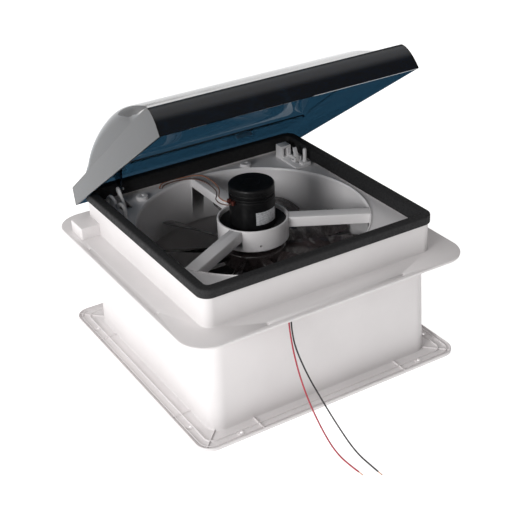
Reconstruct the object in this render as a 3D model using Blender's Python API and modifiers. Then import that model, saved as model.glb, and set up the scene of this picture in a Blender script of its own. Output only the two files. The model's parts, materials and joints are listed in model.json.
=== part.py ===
"""Powered roof vent for caravans and motorhomes: a square white housing with a ceiling garnish, a fan on
three spokes, and a smoked lid that a worm and a lift link raise about its rear edge.

+X runs along the front, -Y is the front (the lid's free edge) and +Z is up. The origin is at the middle of
the garnish's room face. The rest pose is the lid open."""

import math

import bmesh
import bpy
from mathutils import Matrix, Vector

MM = 0.001
GAP = 0.3 * MM

# Ceiling garnish
GARNISH_HALF = 205 * MM
GARNISH_CORNER = 22 * MM
GARNISH_LIP = 5.5 * MM
GARNISH_FLOOR = 2.2 * MM
COLLAR_FOOT_HALF = 175 * MM
COLLAR_TOP_HALF = 172 * MM
COLLAR_TOP = 156.5 * MM
COLLAR_WALL = 2.4 * MM

# Roof base
FLANGE_HALF = 214 * MM
FLANGE_CORNER = 39 * MM
FLANGE_BOTTOM = 157 * MM
FLANGE_TOP = 161 * MM
NECK_HALF = 175 * MM
NECK_CORNER = 14 * MM
NECK_WALL = 3 * MM
NECK_TOP = 203 * MM
SKIRT_BOTTOM = 132 * MM
DECK_SCREW_AT = 163 * MM

# Neck seal
SEAL_HALF = 177.8 * MM
SEAL_INNER = 164 * MM
SEAL_BOTTOM = 196.5 * MM
SEAL_TOP = 216 * MM

# Fan shroud
DECK_HALF = 171.6 * MM
DECK_BOTTOM = 188 * MM
DECK_TOP = 191 * MM
DUCT_RADIUS = 161.5 * MM
DUCT_OUTER = 164.8 * MM
DUCT_BOTTOM = 120 * MM
DUCT_TOP = 192.5 * MM
CUP_RADIUS = 50 * MM
CUP_BOTTOM = 161.5 * MM
CUP_TOP = 193.4 * MM
SPOKE_WIDTH = 20 * MM
SPOKE_BOTTOM = 177.5 * MM
SPOKE_TOP = 192.7 * MM
SPOKE_ANGLES = (-30, 90, 210)

# Motor and fan
MOTOR_RADIUS = 32 * MM
MOTOR_BOTTOM = 164.8 * MM
MOTOR_SPLIT = 230.5 * MM
MOTOR_TOP = 245.5 * MM
SHAFT_RADIUS = 4 * MM
SHAFT_BOTTOM = 117 * MM
BLADE_COUNT = 10
HUB_RADIUS = 45 * MM
HUB_TOP = 152.5 * MM
HUB_BOTTOM = 128 * MM
FAN_RADIUS = 156 * MM

# Lid: sizes in its closed pose, where its rim is level
LID_ANGLE = math.radians(34.4)
HINGE_Y = 182 * MM
HINGE_Z = 195 * MM
LID_REAR = 194.75 * MM
LID_RIM = 193.2 * MM
LID_LENGTH = 379 * MM
LID_REAR_HALF = 184 * MM
LID_FRONT_HALF = 188 * MM
LID_WALL = 2.5 * MM
LID_REAR_HEIGHT = 25.6 * MM
LID_FRONT_HEIGHT = 40.2 * MM
LID_FRONT_SETBACK = 19.4 * MM
LID_DRAFT = 3.5 * MM
LID_SIDE_DRAFT = 2.5 * MM
LEAF_HEIGHT = 17 * MM
DOME_HEIGHT = 37.8 * MM
DOME_START = 78 * MM
DOME_PEAK = 203 * MM
DOME_SHOULDER = 19.2 * MM

# Lid opener, at the left rear corner: crank, lift link and lid lug turn as a parallelogram
LINK_X = -131 * MM
LUG_Y = 151.25 * MM
LUG_Z = 192.1 * MM
LUG_RADIUS = 4.3 * MM
CRANK_SHIFT_Y = -24 * MM
CRANK_SHIFT_Z = -30 * MM
PIN_RADIUS = 2 * MM
WHEEL_RADIUS = 10.5 * MM
WHEEL_TEETH = 24
KNOB_Y = 143.8 * MM
KNOB_X = LINK_X + 14.5 * MM

# Power leads
LEAD_RADIUS = 1.05 * MM
LEAD_EXIT_X = -62 * MM
LEAD_EXIT_Z = 149 * MM


def make_material(name, color, roughness, metallic=0.0, alpha=1.0):
    material = bpy.data.materials.new(name)
    material.use_nodes = True
    shader = material.node_tree.nodes["Principled BSDF"]
    shader.inputs["Base Color"].default_value = (*color, 1)
    shader.inputs["Roughness"].default_value = roughness
    shader.inputs["Metallic"].default_value = metallic
    shader.inputs["Alpha"].default_value = alpha
    material.diffuse_color = (*color, alpha)
    return material


def clear_scene():
    for obj in list(bpy.data.objects):
        bpy.data.objects.remove(obj, do_unlink=True)


def make_collection(name):
    collection = bpy.data.collections.new(name)
    bpy.context.scene.collection.children.link(collection)
    return collection


clear_scene()
PARTS = make_collection("roof_vent")
CUTTERS = make_collection("cutters")
CUTTERS.hide_render = True

WHITE = make_material("white_abs", (0.86, 0.85, 0.85), 0.42)
SEAL = make_material("seal_foam", (0.012, 0.012, 0.012), 0.7)
SMOKE = make_material("smoked_acrylic", (0.02, 0.09, 0.14), 0.08, alpha=0.6)
SMOKE_FAN = make_material("smoked_blade", (0.03, 0.025, 0.025), 0.2, alpha=0.75)
BLACK = make_material("motor_black", (0.012, 0.012, 0.013), 0.4)
STEEL = make_material("steel", (0.6, 0.6, 0.61), 0.3, 1.0)
LABEL = make_material("label_silver", (0.55, 0.55, 0.57), 0.45, 0.3)
COPPER = make_material("copper", (0.75, 0.36, 0.2), 0.35, 1.0)
RED = make_material("red_lead", (0.5, 0.03, 0.05), 0.45)
BLACK_LEAD = make_material("black_lead", (0.015, 0.012, 0.014), 0.45)
NYLON = make_material("nylon_white", (0.8, 0.79, 0.78), 0.5)
MESH = make_material("screen_mesh", (0.03, 0.03, 0.03), 0.6)
SWITCH = make_material("switch_black", (0.016, 0.016, 0.017), 0.35)


def add_object(name, mesh, material, collection=None):
    obj = bpy.data.objects.new(name, mesh)
    (collection or PARTS).objects.link(obj)
    mesh.materials.append(material)
    mesh.shade_smooth()
    mesh.set_sharp_from_angle(angle=math.radians(35))
    return obj


def from_bmesh(name, bm, material, collection=None):
    bmesh.ops.recalc_face_normals(bm, faces=bm.faces)
    mesh = bpy.data.meshes.new(name)
    bm.to_mesh(mesh)
    bm.free()
    return add_object(name, mesh, material, collection)


def baked(obj):
    """The same object with its modifiers applied."""
    graph = bpy.context.evaluated_depsgraph_get()
    mesh = bpy.data.meshes.new_from_object(obj.evaluated_get(graph))
    obj.modifiers.clear()
    obj.data = mesh
    mesh.shade_smooth()
    mesh.set_sharp_from_angle(angle=math.radians(35))
    return obj


def combine(target, tool, operation):
    """Joins or cuts with the tool, which then leaves the parts."""
    modifier = target.modifiers.new(tool.name, "BOOLEAN")
    modifier.operation = operation
    modifier.solver = "EXACT"
    modifier.object = tool
    baked(target)
    for collection in tool.users_collection:
        collection.objects.unlink(tool)
    CUTTERS.objects.link(tool)
    tool.hide_render = True
    tool.display_type = "WIRE"


def join(target, tool):
    combine(target, tool, "UNION")


def cut(target, tool):
    combine(target, tool, "DIFFERENCE")


def put_on_axis(name, place, pieces):
    """An empty on a joint's axis, which the pieces that turn about it follow from where they stand."""
    axis = bpy.data.objects.new(name, None)
    PARTS.objects.link(axis)
    axis.location = place
    for piece in pieces:
        piece.parent = axis
        piece.matrix_parent_inverse = Matrix.Translation(place).inverted()


def box(name, low, high, material, turn=None):
    bm = bmesh.new()
    bmesh.ops.create_cube(bm, size=1)
    low, high = Vector(low), Vector(high)
    size = high - low
    bmesh.ops.scale(bm, vec=size, verts=bm.verts)
    bmesh.ops.translate(bm, vec=(low + high) / 2, verts=bm.verts)
    if turn is not None:
        bmesh.ops.transform(bm, matrix=turn, verts=bm.verts)
    return from_bmesh(name, bm, material)


def cylinder(name, base, axis, length, radius, material, sides=24, top_radius=None):
    """A cylinder or cone from base along axis."""
    bm = bmesh.new()
    top = radius if top_radius is None else top_radius
    bmesh.ops.create_cone(bm, cap_ends=True, segments=sides, radius1=radius, radius2=top, depth=length)
    turn = Vector((0, 0, 1)).rotation_difference(Vector(axis)).to_matrix().to_4x4()
    place = Matrix.Translation(Vector(base) + Vector(axis).normalized() * length / 2) @ turn
    bmesh.ops.transform(bm, matrix=place, verts=bm.verts)
    return from_bmesh(name, bm, material)


def turned(name, profile, material, sides=48, centre=(0, 0)):
    """A closed profile of (radius, height) turned about a vertical axis."""
    mesh = bpy.data.meshes.new(name)
    closed = all(radius > 0 for radius, _ in profile)
    count = len(profile)
    edges = [(i, (i + 1) % count) for i in range(count if closed else count - 1)]
    mesh.from_pydata([(radius, 0, height) for radius, height in profile], edges, [])
    obj = add_object(name, mesh, material)
    screw = obj.modifiers.new("turn", "SCREW")
    screw.axis = "Z"
    screw.steps = sides
    screw.render_steps = sides
    screw.use_merge_vertices = True
    screw.merge_threshold = 0.00001
    screw.use_smooth_shade = True
    baked(obj)
    bm = bmesh.new()
    bm.from_mesh(obj.data)
    bmesh.ops.recalc_face_normals(bm, faces=bm.faces)
    bmesh.ops.translate(bm, vec=(centre[0], centre[1], 0), verts=bm.verts)
    bm.to_mesh(obj.data)
    bm.free()
    return obj


def rounded_square(half, radius, arc_steps=6):
    """Outline points of a square with round corners, anticlockwise."""
    points = []
    for corner in range(4):
        middle = math.radians(45 + 90 * corner)
        centre = Vector((math.cos(middle), math.sin(middle))) * math.sqrt(2) * (half - radius)
        for step in range(arc_steps + 1):
            angle = math.radians(90 * corner + 90 * step / arc_steps)
            points.append(centre + Vector((math.cos(angle), math.sin(angle))) * radius)
    return points


def bridge(bm, rings, closed):
    """Quads between rings that have equal numbers of points."""
    pairs = list(zip(rings, rings[1:]))
    if closed:
        pairs.append((rings[-1], rings[0]))
    for low, high in pairs:
        for i in range(len(low)):
            j = (i + 1) % len(low)
            bm.faces.new((low[i], low[j], high[j], high[i]))


def square_ring(name, profile, material, arc_steps=5):
    """A closed profile of (half side, height, corner radius) carried round a square with round corners."""
    bm = bmesh.new()
    rings = []
    for half, height, radius in profile:
        outline = rounded_square(half, radius, arc_steps)
        rings.append([bm.verts.new((point.x, point.y, height)) for point in outline])
    bridge(bm, rings, True)
    return from_bmesh(name, bm, material)


def prism(name, outline, low_z, high_z, material):
    """A flat outline extruded upwards."""
    bm = bmesh.new()
    rings = [[bm.verts.new((x, y, z)) for x, y in outline] for z in (low_z, high_z)]
    bridge(bm, rings, False)
    bm.faces.new(rings[0])
    bm.faces.new(rings[1])
    return from_bmesh(name, bm, material)


def side_plate(name, outline, low_x, high_x, material):
    """An outline of (y, z) points extruded along X."""
    bm = bmesh.new()
    rings = [[bm.verts.new((x, y, z)) for y, z in outline] for x in (low_x, high_x)]
    bridge(bm, rings, False)
    bm.faces.new(rings[0])
    bm.faces.new(rings[1])
    return from_bmesh(name, bm, material)


def link_outline(start, end, start_radius, end_radius, steps=8):
    """The (y, z) outline of a bar with a round boss at each end."""
    start, end = Vector(start), Vector(end)
    heading = math.atan2(end.y - start.y, end.x - start.x)
    points = []
    for centre, radius, first in ((end, end_radius, -90), (start, start_radius, 90)):
        for step in range(steps + 1):
            angle = heading + math.radians(first + 180 * step / steps)
            points.append((centre.x + radius * math.cos(angle), centre.y + radius * math.sin(angle)))
    return points


def smooth_route(points, spacing):
    """Points at about the given spacing on a Catmull-Rom curve through the route's own points."""
    route = [Vector(point) for point in points]
    ends = [route[0] * 2 - route[1]] + route + [route[-1] * 2 - route[-2]]
    found = []
    for i in range(1, len(ends) - 2):
        before, here, after, beyond = ends[i - 1:i + 3]
        steps = max(1, round((after - here).length / spacing))
        for step in range(steps):
            t = step / steps
            found.append(
                0.5 * (2 * here + (after - before) * t + (2 * before - 5 * here + 4 * after - beyond) * t * t
                       + (3 * here - before - 3 * after + beyond) * t ** 3)
            )
    return found + [route[-1]]


def tube(name, points, radius, material, resolution=2):
    curve = bpy.data.curves.new(name, "CURVE")
    curve.dimensions = "3D"
    curve.bevel_depth = radius
    curve.bevel_resolution = resolution
    curve.use_fill_caps = True
    spline = curve.splines.new("POLY")
    spline.points.add(len(points) - 1)
    for knot, point in zip(spline.points, points):
        knot.co = (*point, 1)
    obj = bpy.data.objects.new(name, curve)
    PARTS.objects.link(obj)
    curve.materials.append(material)
    return obj


def patch(bm, rows):
    """Quads over a grid of points."""
    grid = [[bm.verts.new(point) for point in row] for row in rows]
    for low, high in zip(grid, grid[1:]):
        for i in range(len(low) - 1):
            bm.faces.new((low[i], low[i + 1], high[i + 1], high[i]))


def four_way(x, y):
    """The point on each of the four sides."""
    return [Vector((x, y)), Vector((-y, x)), Vector((-x, -y)), Vector((y, -x))]


# ---------------------------------------------------------------- housing


def build_garnish():
    lip, floor, rib = GARNISH_LIP, GARNISH_FLOOR, 4.4 * MM
    corner = GARNISH_CORNER
    profile = [(GARNISH_HALF, 0, corner), (GARNISH_HALF, lip, corner)]
    profile += [(GARNISH_HALF - 2 * MM, lip, corner - 2 * MM)]
    profile += [(GARNISH_HALF - 2 * MM, floor, corner - 2 * MM)]
    for outer in (199.7 * MM, 189.6 * MM):
        inner = outer - 1.2 * MM
        for half, height in ((outer, floor), (outer, rib), (inner, rib), (inner, floor)):
            profile.append((half, height, corner - (GARNISH_HALF - half) * 0.6))
    profile += [(COLLAR_FOOT_HALF, floor, 20 * MM), (COLLAR_TOP_HALF, COLLAR_TOP, 22 * MM)]
    profile += [(COLLAR_TOP_HALF - COLLAR_WALL, COLLAR_TOP, 19.6 * MM)]
    profile += [(COLLAR_FOOT_HALF - COLLAR_WALL, 0, 17.6 * MM)]
    garnish = square_ring("ceiling_garnish", profile, WHITE)
    ribs = []
    for side in range(4):
        spin = Matrix.Rotation(math.radians(90 * side), 4, "Z")
        for x in (-114 * MM, 114 * MM):
            ribs.append((spin, (x - 0.6 * MM, -204 * MM, 1 * MM), (x + 0.6 * MM, -174 * MM, 4.2 * MM)))
        diagonal = Matrix.Rotation(math.radians(90 * side + 45), 4, "Z")
        ribs.append((diagonal, (-0.6 * MM, -279 * MM, 1 * MM), (0.6 * MM, -237 * MM, 4.2 * MM)))
    for index, (spin, low, high) in enumerate(ribs):
        join(garnish, box(f"garnish_rib_{index}", low, high, WHITE, spin))
    for offset in (-144 * MM, 144 * MM):
        for index, spot in enumerate(four_way(offset, -192.5 * MM)):
            start = (spot.x, spot.y, -5 * MM)
            hole = cylinder(f"garnish_hole_{index}", start, (0, 0, 1), 20 * MM, 2.2 * MM, WHITE, 12)
            cut(garnish, hole)
    start = (LEAD_EXIT_X, -COLLAR_TOP_HALF - 6 * MM, LEAD_EXIT_Z)
    cut(garnish, cylinder("lead_hole", start, (0, 1, 0), 14 * MM, 4.6 * MM, WHITE, 20))


def build_roof_base():
    wall = NECK_HALF - NECK_WALL
    profile = [
        (169.2 * MM, FLANGE_BOTTOM + 0.6 * MM, 19.2 * MM),
        (173.5 * MM, FLANGE_BOTTOM + 0.6 * MM, 20 * MM),
        (173.5 * MM, FLANGE_BOTTOM, 20 * MM),
        (FLANGE_HALF - 0.8 * MM, FLANGE_BOTTOM, FLANGE_CORNER - 0.8 * MM),
        (FLANGE_HALF, FLANGE_BOTTOM + 0.8 * MM, FLANGE_CORNER),
        (FLANGE_HALF, FLANGE_TOP - 0.8 * MM, FLANGE_CORNER),
        (FLANGE_HALF - 0.8 * MM, FLANGE_TOP, FLANGE_CORNER - 0.8 * MM),
        (NECK_HALF, FLANGE_TOP, NECK_CORNER),
        (NECK_HALF, NECK_TOP, NECK_CORNER),
        (wall, NECK_TOP, NECK_CORNER - 3 * MM),
        (wall, 158 * MM, NECK_CORNER - 3 * MM),
        (167 * MM, 157.5 * MM, 12 * MM),
        (167 * MM, SKIRT_BOTTOM, 17 * MM),
        (169.2 * MM, SKIRT_BOTTOM, 19.2 * MM),
    ]
    base = square_ring("roof_base", profile, WHITE)
    for index, spot in enumerate(four_way(DECK_SCREW_AT, DECK_SCREW_AT)):
        foot = (spot.x, spot.y, FLANGE_BOTTOM + GAP)
        height = DECK_BOTTOM - FLANGE_BOTTOM - 2 * GAP
        join(base, cylinder(f"corner_post_{index}", foot, (0, 0, 1), height, 10.4 * MM, WHITE, 16))
        start = (spot.x, spot.y, 172 * MM)
        cut(base, cylinder(f"post_hole_{index}", start, (0, 0, 1), 20 * MM, 1.8 * MM, WHITE, 10))
    box_low = (-203 * MM, 131 * MM, 160 * MM)
    join(base, box("cable_box", box_low, (-174 * MM, 168 * MM, 178.5 * MM), WHITE))
    for offset in (-104 * MM, 104 * MM):
        for index, spot in enumerate(four_way(offset, -205.5 * MM)):
            start = (spot.x, spot.y, 150 * MM)
            cut(base, cylinder(f"flange_hole_{index}", start, (0, 0, 1), 20 * MM, 2 * MM, WHITE, 10))


def build_seal():
    """The seal sits on the neck's top and has a leg down inside it."""
    low = NECK_TOP + GAP
    leg = NECK_HALF - NECK_WALL - 0.6 * MM
    profile = [
        (SEAL_HALF, low, 16.8 * MM),
        (SEAL_HALF, SEAL_TOP - 2 * MM, 16.8 * MM),
        (SEAL_HALF - 2 * MM, SEAL_TOP, 14.8 * MM),
        (SEAL_INNER + 2 * MM, SEAL_TOP, 8 * MM),
        (SEAL_INNER, SEAL_TOP - 2 * MM, 6 * MM),
        (SEAL_INNER, SEAL_BOTTOM, 6 * MM),
        (leg, SEAL_BOTTOM, 10.4 * MM),
        (leg, low, 10.4 * MM),
    ]
    square_ring("neck_seal", profile, SEAL)


# ---------------------------------------------------------------- fan


def build_shroud():
    """The deck, the duct below it, and the cup and spokes that carry the motor."""
    outline = rounded_square(DECK_HALF, NECK_CORNER - 3.4 * MM)
    deck = prism("shroud_deck", outline, DECK_BOTTOM, DECK_TOP, WHITE)
    for index, (x, y) in enumerate(((80 * MM, 153 * MM), (-100 * MM, 144 * MM))):
        boss = cylinder(f"deck_boss_{index}", (x, y, 190 * MM), (0, 0, 1), 6.5 * MM, 8.5 * MM, WHITE, 24)
        join(deck, boss)
        cut(deck, cylinder(f"boss_hole_{index}", (x, y, 184 * MM), (0, 0, 1), 20 * MM, 3.2 * MM, WHITE, 16))
    for index, spot in enumerate(four_way(DECK_SCREW_AT, DECK_SCREW_AT)):
        start = (spot.x, spot.y, 180 * MM)
        cut(deck, cylinder(f"deck_hole_{index}", start, (0, 0, 1), 20 * MM, 2.1 * MM, WHITE, 10))
    hole_base = (0, 0, DECK_BOTTOM - 9 * MM)
    cut(deck, cylinder("duct_hole", hole_base, (0, 0, 1), 20 * MM, DUCT_OUTER + GAP, WHITE, 56))
    slot_low = (LINK_X - 9 * MM, 127 * MM, 180 * MM)
    cut(deck, box("link_slot", slot_low, (LINK_X + 9 * MM, 161 * MM, 200 * MM), WHITE))
    lead_hole = (-60.5 * MM, 161.9 * MM, 180 * MM)
    cut(deck, cylinder("lead_hole", lead_hole, (0, 0, 1), 20 * MM, 4 * MM, WHITE, 16))
    duct = [
        (DUCT_OUTER, DUCT_TOP - 1.5 * MM),
        (DUCT_OUTER, DUCT_BOTTOM),
        (DUCT_OUTER - 2.6 * MM, DUCT_BOTTOM),
        (DUCT_RADIUS, DUCT_TOP - 1.5 * MM),
        (DUCT_RADIUS + 1 * MM, DUCT_TOP),
        (DUCT_OUTER - 1 * MM, DUCT_TOP),
    ]
    turned("shroud_duct", duct, WHITE, 56)
    build_spider()


def build_spider():
    cup = [
        (CUP_RADIUS, CUP_TOP - 0.6 * MM),
        (CUP_RADIUS, CUP_BOTTOM + 1 * MM),
        (CUP_RADIUS - 1 * MM, CUP_BOTTOM),
        (13 * MM, CUP_BOTTOM),
        (13 * MM, MOTOR_BOTTOM - GAP),
        (47 * MM, MOTOR_BOTTOM - GAP),
        (47 * MM, CUP_TOP),
        (CUP_RADIUS - 0.6 * MM, CUP_TOP),
    ]
    spider = turned("motor_spider", cup, WHITE, 36)
    for index, angle in enumerate(SPOKE_ANGLES):
        spin = Matrix.Rotation(math.radians(angle), 4, "Z")
        low = (48.4 * MM, -SPOKE_WIDTH / 2, SPOKE_BOTTOM)
        high = (DUCT_RADIUS - 0.9 * MM, SPOKE_WIDTH / 2, SPOKE_TOP)
        spoke = box(f"spoke_{index}", low, high, WHITE, spin)
        bevel = spoke.modifiers.new("edge", "BEVEL")
        bevel.width = 1.5 * MM
        bevel.segments = 1
        baked(spoke)
        join(spider, spoke)
    for index in range(3):
        x, y = motor_screw_spot(index)
        start = (x, y, 150 * MM)
        cut(spider, cylinder(f"cup_hole_{index}", start, (0, 0, 1), 20 * MM, 2.1 * MM, WHITE, 10))


def motor_screw_spot(index):
    angle = math.radians(30 + 120 * index)
    return 22 * MM * math.cos(angle), 22 * MM * math.sin(angle)


def build_motor():
    body = [
        (0, MOTOR_SPLIT - GAP),
        (MOTOR_RADIUS, MOTOR_SPLIT - GAP),
        (MOTOR_RADIUS, MOTOR_BOTTOM + 1 * MM),
        (MOTOR_RADIUS - 1 * MM, MOTOR_BOTTOM),
        (0, MOTOR_BOTTOM),
    ]
    can = turned("motor_can", body, BLACK, 32)
    cut(can, cylinder("shaft_bore", (0, 0, 150 * MM), (0, 0, 1), 45 * MM, SHAFT_RADIUS + 0.4 * MM, BLACK, 16))
    for index in range(3):
        x, y = motor_screw_spot(index)
        cut(can, cylinder(f"motor_bore_{index}", (x, y, 150 * MM), (0, 0, 1), 20.7 * MM, 1.9 * MM, BLACK, 10))
    cap = [
        (0, MOTOR_TOP),
        (MOTOR_RADIUS - 3 * MM, MOTOR_TOP),
        (MOTOR_RADIUS - 0.8 * MM, MOTOR_TOP - 1.6 * MM),
        (MOTOR_RADIUS, MOTOR_TOP - 4 * MM),
        (MOTOR_RADIUS, MOTOR_SPLIT + 2.4 * MM),
        (MOTOR_RADIUS - 1 * MM, MOTOR_SPLIT + 1.6 * MM),
        (MOTOR_RADIUS - 1 * MM, MOTOR_SPLIT),
        (0, MOTOR_SPLIT),
    ]
    turned("motor_end_cap", cap, BLACK, 32)
    damper = [
        (46.7 * MM, 187.7 * MM),
        (46.7 * MM, 180.5 * MM),
        (MOTOR_RADIUS + GAP, 180.5 * MM),
        (MOTOR_RADIUS + GAP, 185.5 * MM),
    ]
    turned("motor_damper", damper, SEAL, 36)
    for index in range(3):
        x, y = motor_screw_spot(index)
        head = [
            (0, 169.5 * MM),
            (1.5 * MM, 169.5 * MM),
            (1.5 * MM, CUP_BOTTOM - GAP),
            (3.2 * MM, CUP_BOTTOM - GAP),
            (2.6 * MM, CUP_BOTTOM - 2.2 * MM),
            (0, CUP_BOTTOM - 2.2 * MM),
        ]
        turned(f"motor_screw_{index + 1}", head, STEEL, 12, (x, y))
    build_label()
    for name, angle in (("red", 176), ("black", 192)):
        spin = Matrix.Rotation(math.radians(angle), 4, "Z")
        low = (MOTOR_RADIUS + GAP, -2.2 * MM, 222 * MM)
        box(f"motor_terminal_{name}", low, (MOTOR_RADIUS + 5 * MM, 2.2 * MM, 228 * MM), COPPER, spin)


def build_label():
    """A blank plate that follows the can's curve."""
    inner, outer = MOTOR_RADIUS + 0.15 * MM, MOTOR_RADIUS + 0.45 * MM
    outline = []
    first, last, steps = -112, -50, 8
    for radius, order in ((outer, range(steps + 1)), (inner, range(steps, -1, -1))):
        for step in order:
            angle = math.radians(first + (last - first) * step / steps)
            outline.append((radius * math.cos(angle), radius * math.sin(angle)))
    prism("motor_label", outline, 193.5 * MM, 212.5 * MM, LABEL)


def build_fan():
    hub = [
        (HUB_RADIUS - 2 * MM, HUB_TOP),
        (HUB_RADIUS, HUB_TOP - 2 * MM),
        (HUB_RADIUS, HUB_BOTTOM),
        (HUB_RADIUS - 2.5 * MM, HUB_BOTTOM),
        (HUB_RADIUS - 2.5 * MM, HUB_TOP - 4 * MM),
        (9 * MM, HUB_TOP - 4 * MM),
        (9 * MM, HUB_BOTTOM),
        (SHAFT_RADIUS + GAP, HUB_BOTTOM),
        (SHAFT_RADIUS + GAP, HUB_TOP),
    ]
    fan = turned("fan_impeller", hub, SMOKE_FAN, 30)
    for index in range(BLADE_COUNT):
        join(fan, build_blade(index))
    nut = cylinder("hub_nut", (0, 0, 120.5 * MM), (0, 0, 1), 7 * MM, 7.5 * MM, STEEL, 6)
    cut(nut, cylinder("nut_bore", (0, 0, 110 * MM), (0, 0, 1), 30 * MM, SHAFT_RADIUS + GAP, STEEL, 16))
    shaft_profile = [
        (0, 180 * MM),
        (SHAFT_RADIUS, 180 * MM),
        (SHAFT_RADIUS, SHAFT_BOTTOM + 0.8 * MM),
        (SHAFT_RADIUS - 0.8 * MM, SHAFT_BOTTOM),
        (0, SHAFT_BOTTOM),
    ]
    shaft = turned("motor_shaft", shaft_profile, STEEL, 16)
    put_on_axis("fan_axis", (0, 0, HUB_TOP), [fan, nut, shaft])


def build_blade(index):
    """A cambered blade: rings of points along the radius, closed at the root and the tip."""
    bm = bmesh.new()
    radial_steps, chord_steps = 3, 3
    root = HUB_RADIUS - 1.6 * MM
    middle = (HUB_TOP + HUB_BOTTOM) / 2 - 1 * MM
    rings = []
    for i in range(radial_steps + 1):
        share = i / radial_steps
        radius = root + (FAN_RADIUS - root) * share
        chord = (24 + 26 * share) * MM
        pitch = math.radians(44 - 22 * share)
        lead = 10 * share * MM
        upper, lower = [], []
        for j in range(chord_steps + 1):
            along = j / chord_steps - 0.5
            arc = (lead + along * chord * math.cos(pitch)) / radius
            angle = arc + 2 * math.pi * index / BLADE_COUNT
            camber = 2.5 * MM * (1 - 4 * along * along)
            height = middle + along * chord * math.sin(pitch) + camber
            thick = (0.7 + 0.5 * (1 - 4 * along * along)) * MM
            flat = Vector((radius * math.cos(angle), radius * math.sin(angle), height))
            upper.append(bm.verts.new(flat + Vector((0, 0, thick))))
            lower.append(bm.verts.new(flat - Vector((0, 0, thick))))
        rings.append(upper + lower[::-1])
    bridge(bm, rings, False)
    bm.faces.new(rings[0])
    bm.faces.new(rings[-1])
    return from_bmesh(f"blade_{index}", bm, SMOKE_FAN)


# ---------------------------------------------------------------- lid


def lid_crease(u):
    """Height of the crease between the side wall and the dome, at a distance u from the rear edge."""
    return LID_REAR_HEIGHT + (LID_FRONT_HEIGHT - LID_REAR_HEIGHT) * u / (LID_LENGTH - LID_FRONT_SETBACK)


def lid_dome(u):
    """How far the middle of the dome rises above the crease."""
    end = LID_LENGTH - LID_FRONT_SETBACK
    if u <= DOME_START or u >= end:
        return 0
    if u < DOME_PEAK:
        share = (DOME_PEAK - u) / (DOME_PEAK - DOME_START)
        return DOME_HEIGHT * math.sqrt(1 - share ** 1.9)
    share = (u - DOME_PEAK) / (end - DOME_PEAK)
    return DOME_HEIGHT * (1 - share ** 2.5) ** 1.8


def lid_half(u, share):
    """Half the lid's width; share runs from 0 at the rim to 1 at the crease."""
    return LID_REAR_HALF + (LID_FRONT_HALF - LID_REAR_HALF) * u / LID_LENGTH - LID_SIDE_DRAFT * share


def lid_front(share):
    return LID_LENGTH - LID_FRONT_SETBACK * (1 - math.sqrt(1 - share * share))


def lid_point(x, u, w):
    """From the closed lid's own sizes to a point about the hinge axis."""
    return Vector((x, LID_REAR - u - HINGE_Y, LID_RIM + w - HINGE_Z))


def lid_section(u, arc_steps):
    """Points (x, w) over the dome at u, from one top edge to the other, with a round shoulder at each."""
    rise = lid_dome(u)
    drop = min(rise, DOME_SHOULDER)
    half = []
    for step in range(arc_steps + 1):
        angle = math.pi / 2 * step / arc_steps
        x = lid_half(u, 1) - DOME_SHOULDER * (1 - math.cos(angle))
        half.append((x, lid_crease(u) + rise - drop * (1 - math.sin(angle))))
    return [(-x, w) for x, w in half] + half[::-1]


def lid_stations():
    """Distances from the rear edge, closer together where the dome starts steeply."""
    stations = [LID_DRAFT, 40 * MM, DOME_START]
    for angle in (18, 36, 54, 72, 90):
        stations.append(DOME_START + (DOME_PEAK - DOME_START) * (1 - math.cos(math.radians(angle))))
    end = lid_front(1)
    return stations + [DOME_PEAK + (end - DOME_PEAK) * share for share in (0.25, 0.45, 0.62, 0.76, 0.88, 1)]


def build_lid_shell():
    bm = bmesh.new()
    shares = (0, 0.35, 0.65, 0.88, 1)
    stations = lid_stations()
    sections = [lid_section(u, 3) for u in stations]
    patch(bm, [[lid_point(x, u, w) for x, w in section] for u, section in zip(stations, sections)])
    for side, edge in ((-1, 0), (1, -1)):
        wall = []
        for share in shares:
            ends = (LID_DRAFT * share, lid_front(share))
            row = []
            for station in stations:
                along = (station - stations[0]) / (stations[-1] - stations[0])
                u = ends[0] + (ends[1] - ends[0]) * along
                row.append(lid_point(side * lid_half(u, share), u, share * lid_crease(u)))
            wall.append(row)
        top = [lid_point(section[edge][0], u, section[edge][1]) for u, section in zip(stations, sections)]
        patch(bm, wall + [top])
    for section, place in ((sections[0], lambda share: LID_DRAFT * share), (sections[-1], lid_front)):
        rows = []
        for share in shares:
            u = place(share)
            scale = lid_half(u, share) / section[-1][0]
            rows.append([lid_point(x * scale, u, share * lid_crease(u)) for x, _ in section])
        patch(bm, rows)
    bmesh.ops.remove_doubles(bm, verts=bm.verts, dist=0.002 * MM)
    bmesh.ops.dissolve_degenerate(bm, edges=bm.edges, dist=0.002 * MM)
    shell = from_bmesh("lid_shell", bm, SMOKE)
    solid = shell.modifiers.new("wall", "SOLIDIFY")
    solid.thickness = LID_WALL
    solid.offset = -1
    solid.use_even_offset = True
    solid.use_rim = True
    baked(shell)
    join(shell, build_lid_lug())
    start = (LINK_X, LUG_Y - HINGE_Y, LUG_Z - HINGE_Z)
    cut(shell, cylinder("lug_bore", start, (1, 0, 0), 20 * MM, PIN_RADIUS + 0.5 * MM, SMOKE, 16))
    return shell


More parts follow.
